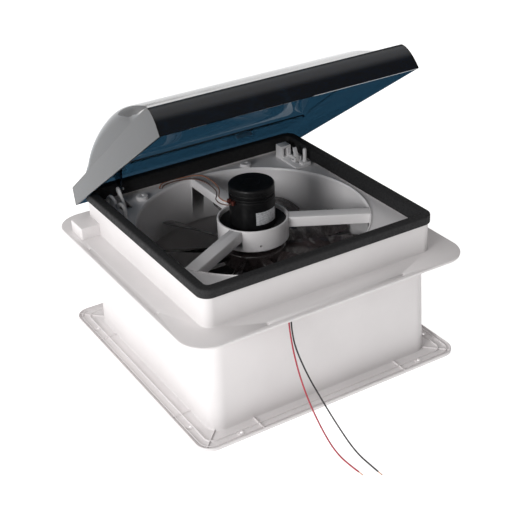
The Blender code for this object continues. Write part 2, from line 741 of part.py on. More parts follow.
def build_lid_lug():
    """The three-cornered lug that hangs from the lid to the lift link."""
    low_x, high_x = LINK_X + 2.4 * MM, LINK_X + 5.4 * MM
    outline = []
    for step in range(7):
        angle = math.radians(180 + 180 * step / 6)
        y = LUG_Y - HINGE_Y + LUG_RADIUS * math.cos(angle)
        outline.append((y, LUG_Z - HINGE_Z + LUG_RADIUS * math.sin(angle)))
    rear_u = LID_REAR - LUG_Y - 4 * MM
    for share in (0, 0.25, 0.5, 0.75, 1):
        u = rear_u + (DOME_START - 2 * MM - rear_u) * share
        point = lid_point(low_x, u, lid_crease(u) - LID_WALL * 0.6)
        outline.append((point.y, point.z))
    return side_plate("lid_lug", outline, low_x, high_x, SMOKE)


def build_hinges(lid_parts):
    for side, name in ((-1, "left"), (1, "right")):
        x = side * 110 * MM
        bracket = box(
            f"hinge_bracket_{name}",
            (x - 19 * MM, NECK_HALF + GAP, 172 * MM),
            (x + 19 * MM, NECK_HALF + 2.3 * MM, 199 * MM),
            WHITE,
        )
        for cheek, inner in enumerate((-18.5 * MM, 14.5 * MM)):
            outline = link_outline((NECK_HALF + 1 * MM, HINGE_Z), (HINGE_Y, HINGE_Z), 4 * MM, 4.2 * MM)
            outline = [(max(y, NECK_HALF + 1 * MM), z) for y, z in outline]
            join(bracket, side_plate(f"cheek_{name}_{cheek}", outline, x + inner, x + inner + 4 * MM, WHITE))
        start = (x - 25 * MM, HINGE_Y, HINGE_Z)
        cut(bracket, cylinder(f"bracket_bore_{name}", start, (1, 0, 0), 50 * MM, 2.3 * MM, WHITE, 16))
        cylinder(f"hinge_pin_{name}", (x - 21 * MM, HINGE_Y, HINGE_Z), (1, 0, 0), 42 * MM, 2 * MM, STEEL, 16)
        barrel = ((x - 14 * MM, 0, 0), (1, 0, 0), 28 * MM, 4.2 * MM)
        leaf = cylinder(f"lid_hinge_leaf_{name}", *barrel, WHITE, 20)
        foot_y = LID_REAR - LID_WALL - HINGE_Y - 2 * GAP
        top_y = foot_y - LID_DRAFT * LEAF_HEIGHT / LID_REAR_HEIGHT
        arm_high = (x + 14 * MM, foot_y - 1 * MM, 1.5 * MM)
        join(leaf, box(f"leaf_arm_{name}", (x - 14 * MM, 0, -1.5 * MM), arm_high, WHITE))
        outline = [(foot_y - 2 * MM, -1.7 * MM), (foot_y, -1.7 * MM)]
        outline += [(top_y, LEAF_HEIGHT - 1.7 * MM), (top_y - 2 * MM, LEAF_HEIGHT - 1.7 * MM)]
        join(leaf, side_plate(f"leaf_plate_{name}", outline, x - 14 * MM, x + 14 * MM, WHITE))
        cut(leaf, cylinder(f"leaf_bore_{name}", (x - 25 * MM, 0, 0), (1, 0, 0), 50 * MM, 2.3 * MM, WHITE, 16))
        lid_parts.append(leaf)


def build_lid():
    lid_parts = [build_lid_shell()]
    build_hinges(lid_parts)
    axis = bpy.data.objects.new("lid_axis", None)
    PARTS.objects.link(axis)
    axis.location = (0, HINGE_Y, HINGE_Z)
    axis.rotation_euler.x = -LID_ANGLE
    for part in lid_parts:
        part.parent = axis


# ---------------------------------------------------------------- opener


def opened(y, z):
    """Where a point of the closed lid is with the lid open."""
    back, up = y - HINGE_Y, z - HINGE_Z
    turn_cos, turn_sin = math.cos(LID_ANGLE), math.sin(LID_ANGLE)
    return HINGE_Y + back * turn_cos + up * turn_sin, HINGE_Z - back * turn_sin + up * turn_cos


def build_opener():
    pin_y, pin_z = opened(LUG_Y, LUG_Z)
    crank_y, crank_z = HINGE_Y + CRANK_SHIFT_Y, HINGE_Z + CRANK_SHIFT_Z
    foot_y, foot_z = pin_y + CRANK_SHIFT_Y, pin_z + CRANK_SHIFT_Z
    bar = link_outline((foot_y, foot_z), (pin_y, pin_z), 3.6 * MM, 4.4 * MM)
    link = side_plate("lift_link", bar, LINK_X - 1.5 * MM, LINK_X + 1.5 * MM, NYLON)
    foot_pin = (LINK_X - 10 * MM, foot_y, foot_z)
    cut(link, cylinder("link_bore", foot_pin, (1, 0, 0), 20 * MM, PIN_RADIUS + 0.25 * MM, NYLON, 16))
    lug_start = (LINK_X + 0.5 * MM, pin_y, pin_z)
    join(link, cylinder("lug_stub", lug_start, (1, 0, 0), 8 * MM, PIN_RADIUS, NYLON, 16))
    arm_outline = link_outline((crank_y, crank_z), (foot_y, foot_z), 6 * MM, 3.8 * MM)
    crank_low = LINK_X + 2 * MM
    crank = side_plate("lift_crank", arm_outline, crank_low, crank_low + 3 * MM, NYLON)
    crank_start = (LINK_X - 3.5 * MM, foot_y, foot_z)
    join(crank, cylinder("crank_stub", crank_start, (1, 0, 0), 6.5 * MM, PIN_RADIUS, NYLON, 16))
    hub_start = (crank_low + 1 * MM, crank_y, crank_z)
    join(crank, cylinder("crank_hub", hub_start, (1, 0, 0), 8 * MM, 5.2 * MM, NYLON, 20))
    wheel = build_worm_wheel(crank_low + 9.5 * MM, crank_y, crank_z)
    axle_bore = ((LINK_X - 12 * MM, crank_y, crank_z), (1, 0, 0), 50 * MM, PIN_RADIUS + 0.5 * MM, NYLON, 16)
    cut(crank, cylinder("crank_bore", *axle_bore))
    cut(wheel, cylinder("wheel_bore", *axle_bore))
    put_on_axis("link_axis", (LINK_X, foot_y, foot_z), [link])
    put_on_axis("crank_axis", (LINK_X, crank_y, crank_z), [crank, wheel])
    build_gear_housing(crank_y, crank_z)
    build_knob(crank_z)


def build_worm_wheel(low_x, y, z):
    outline = []
    for tooth in range(WHEEL_TEETH):
        for share, radius in ((0, WHEEL_RADIUS - 1.1 * MM), (0.35, WHEEL_RADIUS), (0.6, WHEEL_RADIUS)):
            angle = 2 * math.pi * (tooth + share) / WHEEL_TEETH
            outline.append((y + radius * math.cos(angle), z + radius * math.sin(angle)))
    return side_plate("worm_wheel", outline, low_x, low_x + 6 * MM, NYLON)


def build_gear_housing(crank_y, crank_z):
    """A cheek each side of the crank and the wheel, joined under the deck, with the crank's axle."""
    top = DECK_BOTTOM - GAP
    left_x, right_x = LINK_X - 7.5 * MM, LINK_X + 19 * MM
    housing = box(
        "gear_housing", (left_x - 2.5 * MM, 150 * MM, 158.6 * MM), (left_x, crank_y + 7 * MM, top), WHITE
    )
    far_high = (right_x + 2.5 * MM, crank_y + 7 * MM, top)
    far = box("far_cheek", (right_x, 134 * MM, 158.6 * MM), far_high, WHITE)
    join(housing, far)
    rear_low = (left_x - 1 * MM, crank_y + 6 * MM, 176 * MM)
    join(housing, box("rear_bridge", rear_low, (right_x + 1 * MM, crank_y + 8 * MM, top), WHITE))
    knob_plate_low = (right_x - 12.5 * MM, KNOB_Y - 8 * MM, 176 * MM)
    join(housing, box("knob_plate", knob_plate_low, (right_x + 1 * MM, KNOB_Y + 7 * MM, 180 * MM), WHITE))
    cut(housing, cylinder("knob_bore", (KNOB_X, KNOB_Y, 170 * MM), (0, 0, 1), 30 * MM, 2.3 * MM, WHITE, 16))
    bore_start = (left_x - 5 * MM, crank_y, crank_z)
    cut(housing, cylinder("axle_bore", bore_start, (1, 0, 0), 50 * MM, PIN_RADIUS + GAP, WHITE, 16))
    start = (left_x - 3.5 * MM, crank_y, crank_z)
    cylinder("crank_axle", start, (1, 0, 0), right_x - left_x + 7 * MM, PIN_RADIUS, STEEL, 16)


def build_knob(worm_z):
    """The dial in the room, its shaft and the worm at the shaft's top."""
    worm_radius, ring_count = 3.4 * MM, 4
    worm_top, worm_bottom = worm_z + 8 * MM, worm_z - 8 * MM
    profile = []
    for i in range(ring_count):
        base = worm_top - i * (worm_top - worm_bottom) / ring_count
        profile += [(worm_radius - 0.9 * MM, base), (worm_radius, base - 1.3 * MM)]
    profile += [(worm_radius - 0.9 * MM, worm_bottom), (2.1 * MM, worm_bottom), (2.1 * MM, worm_top)]
    worm = turned("worm", profile, STEEL, 12, (KNOB_X, KNOB_Y))
    shaft = cylinder("knob_shaft", (KNOB_X, KNOB_Y, 16 * MM), (0, 0, 1), 167 * MM, 1.8 * MM, STEEL, 12)
    knob = [
        (0, 22 * MM),
        (7 * MM, 22 * MM),
        (9 * MM, 16 * MM),
        (17 * MM, 14 * MM),
        (18 * MM, 12.5 * MM),
        (18 * MM, 4.5 * MM),
        (16.5 * MM, 3 * MM),
        (0, 3 * MM),
    ]
    dial = turned("opener_knob", knob, WHITE, 24, (KNOB_X, KNOB_Y))
    for index in range(6):
        angle = math.radians(60 * index)
        spot = (KNOB_X + 20.5 * MM * math.cos(angle), KNOB_Y + 20.5 * MM * math.sin(angle), 0)
        cut(dial, cylinder(f"knob_grip_{index}", spot, (0, 0, 1), 30 * MM, 5.5 * MM, WHITE, 10))
    cut(dial, cylinder("knob_hole", (KNOB_X, KNOB_Y, 15.5 * MM), (0, 0, 1), 30 * MM, 2.1 * MM, WHITE, 12))
    put_on_axis("knob_axis", (KNOB_X, KNOB_Y, 12 * MM), [dial, shaft, worm])


# ---------------------------------------------------------------- lid switch, screen, fan switch


def build_lid_switch():
    """The block at the right rear corner: a slotted tower, a lever between two cheeks, and a guide post."""
    x = 146 * MM
    body_low = (x - 10.5 * MM, 95.5 * MM, DECK_TOP + GAP)
    body = box("lid_switch_body", body_low, (x + 10 * MM, 156 * MM, 194 * MM), NYLON)
    tower_low = (x - 10.5 * MM, 139 * MM, 193 * MM)
    join(body, box("switch_tower", tower_low, (x + 7 * MM, 154 * MM, 212.5 * MM), NYLON))
    slot_low = (x - 5.5 * MM, 130 * MM, 195 * MM)
    cut(body, box("tower_slot", slot_low, (x + 1 * MM, 160 * MM, 208.5 * MM), NYLON))
    post_block_low = (x + 1 * MM, 96 * MM, DECK_TOP + GAP)
    join(body, box("post_block", post_block_low, (x + 15 * MM, 108 * MM, 198 * MM), NYLON))
    for index, cheek_x in enumerate((x - 2 * MM, x + 7 * MM)):
        low = (cheek_x, 113.5 * MM, 193 * MM)
        join(body, box(f"switch_cheek_{index}", low, (cheek_x + 2.5 * MM, 123.5 * MM, 202 * MM), NYLON))
    pivot_y, pivot_z = 118.5 * MM, 197.5 * MM
    lever_outline = [
        (pivot_y - 4 * MM, pivot_z - 2.8 * MM),
        (pivot_y + 3 * MM, pivot_z - 2.8 * MM),
        (pivot_y + 18 * MM, pivot_z - 2 * MM),
        (pivot_y + 18 * MM, pivot_z + 1 * MM),
        (pivot_y + 4 * MM, pivot_z + 3.4 * MM),
        (pivot_y + 6.5 * MM, pivot_z + 16.5 * MM),
        (pivot_y + 3 * MM, pivot_z + 17.5 * MM),
        (pivot_y - 5 * MM, pivot_z + 3 * MM),
    ]
    lever = side_plate("lid_switch_lever", lever_outline, x + 1.4 * MM, x + 6 * MM, NYLON)
    bore = ((x - 8 * MM, pivot_y, pivot_z), (1, 0, 0), 24 * MM)
    cut(lever, cylinder("lever_bore", *bore, 1.5 * MM, NYLON, 12))
    cut(body, cylinder("cheek_bore", *bore, 1.5 * MM, NYLON, 12))
    put_on_axis("lever_axis", (x, pivot_y, pivot_z), [lever])
    cylinder("switch_lever_pin", (x - 3.5 * MM, pivot_y, pivot_z), (1, 0, 0), 15 * MM, 1.2 * MM, STEEL, 12)
    post_bottom = 198 * MM + GAP
    post = [
        (0, 219 * MM),
        (2 * MM, 219 * MM),
        (2.9 * MM, 217.5 * MM),
        (2.9 * MM, post_bottom + 2 * MM),
        (4.4 * MM, post_bottom + 1 * MM),
        (4.4 * MM, post_bottom),
        (0, post_bottom),
    ]
    turned("guide_post", post, NYLON, 16, (x + 8 * MM, 101.5 * MM))


def build_screen():
    low, high = 24 * MM, 30 * MM
    profile = [
        (171 * MM, low, 16 * MM),
        (171 * MM, low + 2 * MM, 16 * MM),
        (168 * MM, high, 14 * MM),
        (160 * MM, high, 10 * MM),
        (160 * MM, low, 10 * MM),
    ]
    frame = square_ring("screen_frame", profile, WHITE)
    gusset_low = (-163 * MM, 107 * MM, low)
    join(frame, box("knob_gusset", gusset_low, (-97 * MM, 163 * MM, low + 3 * MM), WHITE))
    cut(frame, cylinder("gusset_hole", (KNOB_X, KNOB_Y, low - 9 * MM), (0, 0, 1), 30 * MM, 8 * MM, WHITE, 24))
    gusset_low = (118 * MM, -163 * MM, low + 0.4 * MM)
    join(frame, box("switch_gusset", gusset_low, (163 * MM, -118 * MM, low + 3.2 * MM), WHITE))
    cut(frame, box("switch_window", (130 * MM, -155 * MM, 10 * MM), (152 * MM, -139 * MM, 50 * MM), WHITE))
    for index, spot in enumerate(four_way(0, -165 * MM)):
        start = (spot.x, spot.y, 10 * MM)
        cut(frame, cylinder(f"screen_hole_{index}", start, (0, 0, 1), 50 * MM, 1.9 * MM, WHITE, 10))
        screw = [
            (0, high + 3 * MM),
            (1.5 * MM, high + 3 * MM),
            (1.5 * MM, low - GAP),
            (3 * MM, low - GAP),
            (2.4 * MM, low - 2 * MM),
            (0, low - 2 * MM),
        ]
        turned(f"screen_screw_{index + 1}", screw, STEEL, 12, (spot.x, spot.y))
    half = 159.6 * MM
    outline = rounded_square(half, 9.8 * MM)
    sheet = prism("insect_screen", outline, low + 4 * MM, low + 4.8 * MM, MESH)
    notch_low = (-half - 2 * MM, 105 * MM, low)
    cut(sheet, box("knob_notch", notch_low, (-95 * MM, half + 2 * MM, high + 9 * MM), MESH))
    notch_low = (115 * MM, -half - 2 * MM, low)
    cut(sheet, box("switch_notch", notch_low, (half + 2 * MM, -115 * MM, high + 9 * MM), MESH))


def build_fan_switch():
    body = box("fan_switch_body", (131 * MM, -154 * MM, 24.5 * MM), (151 * MM, -140 * MM, 44 * MM), SWITCH)
    bezel_low = (128.5 * MM, -156.5 * MM, 22 * MM)
    join(body, box("switch_bezel", bezel_low, (153.5 * MM, -137.5 * MM, 23.7 * MM), SWITCH))
    join(body, box("switch_neck", (131 * MM, -154 * MM, 23 * MM), (151 * MM, -140 * MM, 25 * MM), SWITCH))
    cut(body, box("switch_well", (133 * MM, -152 * MM, 12 * MM), (149 * MM, -142 * MM, 32 * MM), SWITCH))
    middle_x, middle_y, axis_z = 141 * MM, -147 * MM, 25 * MM
    outline = []
    for step in range(9):
        angle = math.radians(150 + 240 * step / 8)
        outline.append((middle_x + 7.4 * MM * math.cos(angle) * 0.9, axis_z + 5 * MM * math.sin(angle)))
    bm = bmesh.new()
    ends = (middle_y - 4.6 * MM, middle_y + 4.6 * MM)
    rings = [[bm.verts.new((x, y, z)) for x, z in outline] for y in ends]
    bridge(bm, rings, False)
    bm.faces.new(rings[0])
    bm.faces.new(rings[1])
    rocker = from_bmesh("fan_switch_rocker", bm, SWITCH)
    put_on_axis("rocker_axis", (middle_x, middle_y, axis_z), [rocker])


def build_deck_screws():
    for index, spot in enumerate(four_way(DECK_SCREW_AT, DECK_SCREW_AT)):
        screw = [
            (0, DECK_TOP + 2.4 * MM),
            (2.6 * MM, DECK_TOP + 2.4 * MM),
            (3.8 * MM, DECK_TOP + 1 * MM),
            (3.8 * MM, DECK_TOP + GAP),
            (1.5 * MM, DECK_TOP + GAP),
            (1.5 * MM, 176 * MM),
            (0, 175 * MM),
        ]
        turned(f"deck_screw_{index + 1}", screw, STEEL, 12, (spot.x, spot.y))


# ---------------------------------------------------------------- leads

MOTOR_LEAD_RED = [
    (-37.8, 2.6, 225), (-40, 10, 224.5), (-36, 28, 221), (-24, 50, 214), (-10, 75, 206), (0, 100, 201),
    (4, 125, 199), (2, 145, 198.8), (-6, 157, 197.4), (-20, 165, 195.3), (-38, 168.6, 195.2),
    (-47, 168.6, 194.9), (-55, 167.2, 194.6), (-60, 164.6, 193.2), (-61.6, 163.4, 190.6),
    (-61.8, 163.2, 188.6),
]
MOTOR_LEAD_BLACK = [
    (-37.3, -7.8, 225), (-42.4, -6.4, 224.6), (-45.5, 9, 222), (-39, 32, 217), (-26, 54, 210),
    (-13, 78, 203), (-5, 102, 198), (-2, 126, 195.2), (-5, 145, 194.3), (-14, 156.5, 194.2),
    (-28, 162.2, 193.8), (-38, 165, 193.4), (-47, 165, 192.9), (-53, 163.6, 192.7), (-57, 161.8, 192),
    (-58.9, 160.8, 190.4), (-59.2, 160.6, 188.6),
]
POWER_LEAD_RED = [
    (-63.2, -175.2, 149), (-63.2, -181, 148.6), (-63.5, -187.5, 143), (-64.2, -191, 130), (-65.2, -197, 112),
    (-66.2, -206, 92), (-67, -219, 70), (-67.6, -236, 49), (-67.8, -255, 31), (-67.6, -273, 17.2),
    (-67, -290, 7.4), (-66, -307, 2.4), (-64.8, -325, 1.5), (-63.6, -338.7, 1.5),
]
POWER_LEAD_BLACK = [
    (-60.8, -175.2, 149), (-60.8, -181.4, 148.7), (-61.2, -189.4, 143.6), (-63, -194.4, 130.5),
    (-63.4, -201, 112), (-61, -210.5, 92), (-57, -224, 70), (-52.8, -241, 50), (-49.4, -260, 32),
    (-47, -279, 17.8), (-45.6, -297, 7.8), (-44.8, -315, 2.5), (-44.2, -335, 1.5), (-43.8, -351.7, 1.5),
]


def metres(points):
    return [Vector(point) * MM for point in points]


def build_leads():
    tube("motor_lead_red", smooth_route(metres(MOTOR_LEAD_RED), 12 * MM), 0.85 * MM, RED, 1)
    tube("motor_lead_black", smooth_route(metres(MOTOR_LEAD_BLACK), 12 * MM), 0.85 * MM, BLACK_LEAD, 1)
    for name, route, material in (("red", POWER_LEAD_RED, RED), ("black", POWER_LEAD_BLACK, BLACK_LEAD)):
        points = smooth_route(metres(route), 6.5 * MM)
        tube(f"power_lead_{name}", points, LEAD_RADIUS, material, 2)
        heading = (points[-1] - points[-2]).normalized()
        start = points[-1] + heading * GAP
        cylinder(f"bare_end_{name}", start, heading, 8 * MM, 0.7 * MM, COPPER, 8)
    face = -COLLAR_TOP_HALF - 3 * MM + GAP
    grommet = cylinder(
        "lead_grommet", (LEAD_EXIT_X, face, LEAD_EXIT_Z), (0, 1, 0), 5 * MM, 4.2 * MM, SEAL, 20
    )
    flare = cylinder("grommet_lip", (LEAD_EXIT_X, face, LEAD_EXIT_Z), (0, 1, 0), 1.9 * MM, 4.9 * MM, SEAL, 20)
    join(grommet, flare)


build_garnish()
build_roof_base()
build_seal()
build_shroud()
build_motor()
build_fan()
build_lid()
build_opener()
build_lid_switch()
build_screen()
build_fan_switch()
build_deck_screws()
build_leads()
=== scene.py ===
"""The looks of the powered roof vent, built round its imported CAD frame.

Outer sizes come from the frame's boxes; the details between them repeat the CAD's. Units are metres."""

import math

import bmesh
import bpy
from mathutils import Matrix, Vector
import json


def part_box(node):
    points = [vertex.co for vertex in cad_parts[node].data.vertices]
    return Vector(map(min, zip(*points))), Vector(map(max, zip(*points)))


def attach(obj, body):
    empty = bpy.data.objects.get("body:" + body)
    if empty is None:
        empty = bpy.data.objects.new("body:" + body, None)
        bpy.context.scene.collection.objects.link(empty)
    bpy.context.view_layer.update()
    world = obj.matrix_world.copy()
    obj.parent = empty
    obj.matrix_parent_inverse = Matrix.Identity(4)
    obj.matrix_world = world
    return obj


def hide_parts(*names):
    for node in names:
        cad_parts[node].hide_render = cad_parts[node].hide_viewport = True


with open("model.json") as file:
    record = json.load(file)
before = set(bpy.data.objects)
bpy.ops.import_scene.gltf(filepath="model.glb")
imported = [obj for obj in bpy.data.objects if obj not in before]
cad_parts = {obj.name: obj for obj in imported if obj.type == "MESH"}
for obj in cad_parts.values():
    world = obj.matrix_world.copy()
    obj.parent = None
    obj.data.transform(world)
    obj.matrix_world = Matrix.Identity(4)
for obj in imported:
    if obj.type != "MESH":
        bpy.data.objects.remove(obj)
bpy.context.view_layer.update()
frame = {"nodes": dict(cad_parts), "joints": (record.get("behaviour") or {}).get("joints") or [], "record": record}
MM = 0.001
UP = Vector((0, 0, 1))
# How long the bars are that cut round holes.
CUTTER_LENGTH = 20 * MM


# ---------------------------------------------------------------- driving sizes, from the frame

GARNISH_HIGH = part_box("ceiling_garnish")[1]
BASE_LOW, BASE_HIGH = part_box("roof_base")
SEAL_LOW, SEAL_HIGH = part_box("neck_seal")
DECK_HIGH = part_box("shroud_deck")[1]
DUCT_LOW, DUCT_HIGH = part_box("shroud_duct")
CUP_LOW, CUP_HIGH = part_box("motor_spider")
CAN_LOW, CAN_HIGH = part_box("motor_can")
CAP_LOW, CAP_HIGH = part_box("motor_end_cap")
JOINTS = {joint["name"]: joint for joint in frame["joints"]}
HINGE = Vector(JOINTS["lid_hinge"]["pos_m"])
LID_ANGLE = math.radians(-JOINTS["lid_hinge"]["range_deg"][0])


# ---------------------------------------------------------------- camera


def make_camera():
    """The camera of the fitted view: it looks at the target from this azimuth, elevation and distance."""
    azimuth, elevation, roll = math.radians(-30.26), math.radians(29.09), math.radians(-2.6)
    target, distance = Vector((0.0004, -0.0137, 0.1288)), 1.585
    level = math.cos(elevation)
    back = Vector((math.sin(azimuth) * level, -math.cos(azimuth) * level, math.sin(elevation)))
    right = UP.cross(back).normalized()
    up = back.cross(right)
    rolled_right = right * math.cos(roll) + up * math.sin(roll)
    rolled_up = up * math.cos(roll) - right * math.sin(roll)
    data = bpy.data.cameras.new("camera")
    data.lens = 78
    data.sensor_width = 36
    camera = bpy.data.objects.new("camera", data)
    bpy.context.scene.collection.objects.link(camera)
    turn = Matrix((rolled_right, rolled_up, back)).transposed().to_4x4()
    camera.matrix_world = Matrix.Translation(target + back * distance) @ turn
    bpy.context.scene.camera = camera


make_camera()


# ---------------------------------------------------------------- materials


class Shader:
    """A Principled material with a few procedural helpers."""

    def __init__(self, name, color, roughness, **sockets):
        self.material = bpy.data.materials.new(name)
        self.material.use_nodes = True
        self.nodes = self.material.node_tree.nodes
        self.links = self.material.node_tree.links
        self.bsdf = self.nodes["Principled BSDF"]
        self.bsdf.inputs["Base Color"].default_value = (*color, 1)
        self.bsdf.inputs["Roughness"].default_value = roughness
        for socket, value in sockets.items():
            self.bsdf.inputs[socket.replace("_", " ")].default_value = value
        self.place = self.nodes.new("ShaderNodeTexCoord").outputs["Object"]
        self.height = None

    def noise(self, scale, detail, stretch=None):
        node = self.nodes.new("ShaderNodeTexNoise")
        node.inputs["Scale"].default_value = scale
        node.inputs["Detail"].default_value = detail
        node.inputs["Roughness"].default_value = 0.55
        source = self.place
        if stretch is not None:
            mapping = self.nodes.new("ShaderNodeMapping")
            mapping.inputs["Scale"].default_value = stretch
            self.links.new(source, mapping.inputs["Vector"])
            source = mapping.outputs["Vector"]
        self.links.new(source, node.inputs["Vector"])
        return node.outputs["Fac"]

    def rings(self, scale, distortion):
        """Uneven rings about the upright axis."""
        node = self.nodes.new("ShaderNodeTexWave")
        node.wave_type = "RINGS"
        node.rings_direction = "Z"
        node.inputs["Scale"].default_value = scale
        node.inputs["Distortion"].default_value = distortion
        node.inputs["Detail"].default_value = 3
        node.inputs["Detail Scale"].default_value = 2
        self.links.new(self.place, node.inputs["Vector"])
        return node.outputs["Fac"]

    def cells(self, scale):
        node = self.nodes.new("ShaderNodeTexVoronoi")
        node.inputs["Scale"].default_value = scale
        self.links.new(self.place, node.inputs["Vector"])
        return node.outputs["Distance"]

    def remap(self, value, low, high):
        """The middle of a noise's range, spread from low to high."""
        node = self.nodes.new("ShaderNodeMapRange")
        node.inputs["From Min"].default_value = 0.3
        node.inputs["From Max"].default_value = 0.7
        node.inputs["To Min"].default_value = low
        node.inputs["To Max"].default_value = high
        self.links.new(value, node.inputs["Value"])
        return node.outputs["Result"]

    def vary_color(self, value, low_color, high_color, low=0.35, high=0.65):
        ramp = self.nodes.new("ShaderNodeValToRGB")
        ramp.color_ramp.elements[0].position = low
        ramp.color_ramp.elements[0].color = (*low_color, 1)
        ramp.color_ramp.elements[1].position = high
        ramp.color_ramp.elements[1].color = (*high_color, 1)
        self.links.new(value, ramp.inputs["Fac"])
        self.links.new(ramp.outputs["Color"], self.bsdf.inputs["Base Color"])
        return self

    def vary_roughness(self, value, low, high):
        self.links.new(self.remap(value, low, high), self.bsdf.inputs["Roughness"])
        return self

    def bump(self, value, strength, distance):
        node = self.nodes.new("ShaderNodeBump")
        node.inputs["Strength"].default_value = strength
        node.inputs["Distance"].default_value = distance
        self.links.new(value, node.inputs["Height"])
        if self.height is not None:
            self.links.new(self.height, node.inputs["Normal"])
        self.height = node.outputs["Normal"]
        self.links.new(self.height, self.bsdf.inputs["Normal"])
        return self


def shade(color, factor):
    return tuple(channel * factor for channel in color)


def moulded_plastic(name, color, roughness, grain=0.05):
    """Moulded thermoplastic: slow tone drift, uneven gloss and a very fine grain."""
    shader = Shader(name, color, roughness)
    shader.vary_color(shader.noise(9, 4), shade(color, 0.965), shade(color, 1.02))
    shader.vary_roughness(shader.noise(55, 5), roughness - 0.06, roughness + 0.08)
    shader.bump(shader.noise(2600, 2), grain, 0.0001)
    shader.bump(shader.noise(38, 2), 0.04, 0.001)
    return shader.material


def foam_rubber():
    shader = Shader("seal_foam_pores", (0.015, 0.015, 0.0155), 0.72, Specular_IOR_Level=0.22)
    pores = shader.cells(900)
    shader.vary_color(pores, (0.009, 0.009, 0.0095), (0.025, 0.025, 0.026), 0.1, 0.5)
    shader.vary_roughness(shader.noise(240, 4), 0.55, 0.85)
    shader.bump(pores, 0.35, 0.0004)
    shader.bump(shader.noise(60, 3), 0.2, 0.001)
    return shader.material


def smoked_acrylic():
    shader = Shader(
        "smoked_acrylic_gloss", (0.0095, 0.033, 0.058), 0.05, IOR=1.49, Transmission_Weight=1.0,
        Coat_Weight=0.2, Coat_Roughness=0.04, Coat_IOR=1.5,
    )
    shader.vary_roughness(shader.noise(22, 4), 0.03, 0.09)
    shader.bump(shader.noise(7, 2), 0.05, 0.002)
    return shader.material


def smoked_blade():
    shader = Shader(
        "smoked_blade_gloss", (0.075, 0.058, 0.058), 0.16, IOR=1.5, Transmission_Weight=0.5,
        Coat_Weight=0.5, Coat_Roughness=0.12,
    )
    shader.vary_color(shader.noise(30, 4), (0.045, 0.035, 0.035), (0.11, 0.086, 0.086))
    shader.vary_roughness(shader.noise(60, 4), 0.12, 0.24)
    shader.bump(shader.rings(14, 5), 0.6, 0.003)
    return shader.material


def motor_paint():
    shader = Shader("motor_black_satin", (0.005, 0.005, 0.0055), 0.38, Specular_IOR_Level=0.28)
    shader.vary_color(shader.noise(160, 4), (0.0035, 0.0035, 0.004), (0.007, 0.007, 0.0075))
    shader.vary_roughness(shader.noise(90, 4), 0.3, 0.46)
    shader.bump(shader.noise(1300, 3), 0.12, 0.0002)
    return shader.material


def worked_metal(name, color, roughness, scale=400):
    shader = Shader(name, color, roughness, Metallic=1.0)
    shader.vary_color(shader.noise(120, 4), shade(color, 0.86), shade(color, 1.06))
    shader.vary_roughness(shader.noise(scale, 4, stretch=(1, 1, 0.15)), roughness - 0.1, roughness + 0.14)
    shader.bump(shader.noise(scale * 2, 2, stretch=(1, 1, 0.1)), 0.08, 0.0002)
    return shader.material


def label_film():
    shader = Shader("label_film", (0.66, 0.67, 0.69), 0.35, Metallic=0.25)
    # Stretched noise streaks the film's colour and gloss: partly its brushed grain, partly painted bright streaks
    # of reflection.
    grain_and_painted_streaks = shader.noise(260, 3, stretch=(1, 1, 6))
    shader.vary_color(grain_and_painted_streaks, (0.42, 0.43, 0.45), (0.86, 0.87, 0.89))
    shader.vary_roughness(grain_and_painted_streaks, 0.3, 0.5)
    shader.bump(shader.noise(45, 2), 0.2, 0.0004)
    return shader.material


def lead_insulation(name, color):
    shader = Shader(name, color, 0.35, Coat_Weight=0.15)
    shader.vary_color(shader.noise(300, 3), shade(color, 0.85), shade(color, 1.08))
    shader.vary_roughness(shader.noise(400, 3), 0.28, 0.45)
    shader.bump(shader.noise(500, 2), 0.1, 0.0002)
    return shader.material


def woven_mesh():
    shader = Shader("woven_glass_mesh", (0.022, 0.022, 0.023), 0.55)
    shader.vary_color(shader.noise(350, 2), (0.016, 0.016, 0.017), (0.03, 0.03, 0.031))
    shader.bump(shader.noise(2500, 2), 0.3, 0.0001)
    return shader.material


def pale_floor():
    shader = Shader("pale_floor", (0.6, 0.6, 0.6), 0.8, Emission_Strength=0.85, Emission_Color=(1, 1, 1, 1))
    shader.vary_color(shader.noise(3, 3), (0.59, 0.59, 0.59), (0.61, 0.61, 0.61))
    return shader.material


WHITE = moulded_plastic("white_abs_satin", (0.75, 0.725, 0.725), 0.42)
# The shroud's white is the housing's white made brighter: painted light, standing in for the light that reaches
# the duct's inside under the lid.
SHROUD_WHITE_PAINTED_LIGHT = moulded_plastic("shroud_white_painted_light", (0.86, 0.84, 0.845), 0.36)
NYLON = moulded_plastic("nylon_natural", (0.92, 0.9, 0.9), 0.4, 0.09)
SEAL = foam_rubber()
LID = smoked_acrylic()
BLADE = smoked_blade()
MOTOR = motor_paint()
STEEL = worked_metal("zinc_steel", (0.6, 0.6, 0.62), 0.32)
COPPER = worked_metal("bare_copper", (0.78, 0.4, 0.24), 0.34)
LABEL = label_film()
RED_LEAD = lead_insulation("red_pvc", (0.42, 0.025, 0.05))
BLACK_LEAD = lead_insulation("black_pvc", (0.016, 0.013, 0.015))
ORANGE_LEAD = lead_insulation("motor_lead_orange", (0.45, 0.19, 0.11))
BROWN_LEAD = lead_insulation("motor_lead_brown", (0.16, 0.085, 0.065))
TERMINAL = worked_metal("dull_terminal", (0.3, 0.1, 0.08), 0.5)
SWITCH = moulded_plastic("switch_black", (0.014, 0.014, 0.015), 0.3, 0.08)
MESH = woven_mesh()

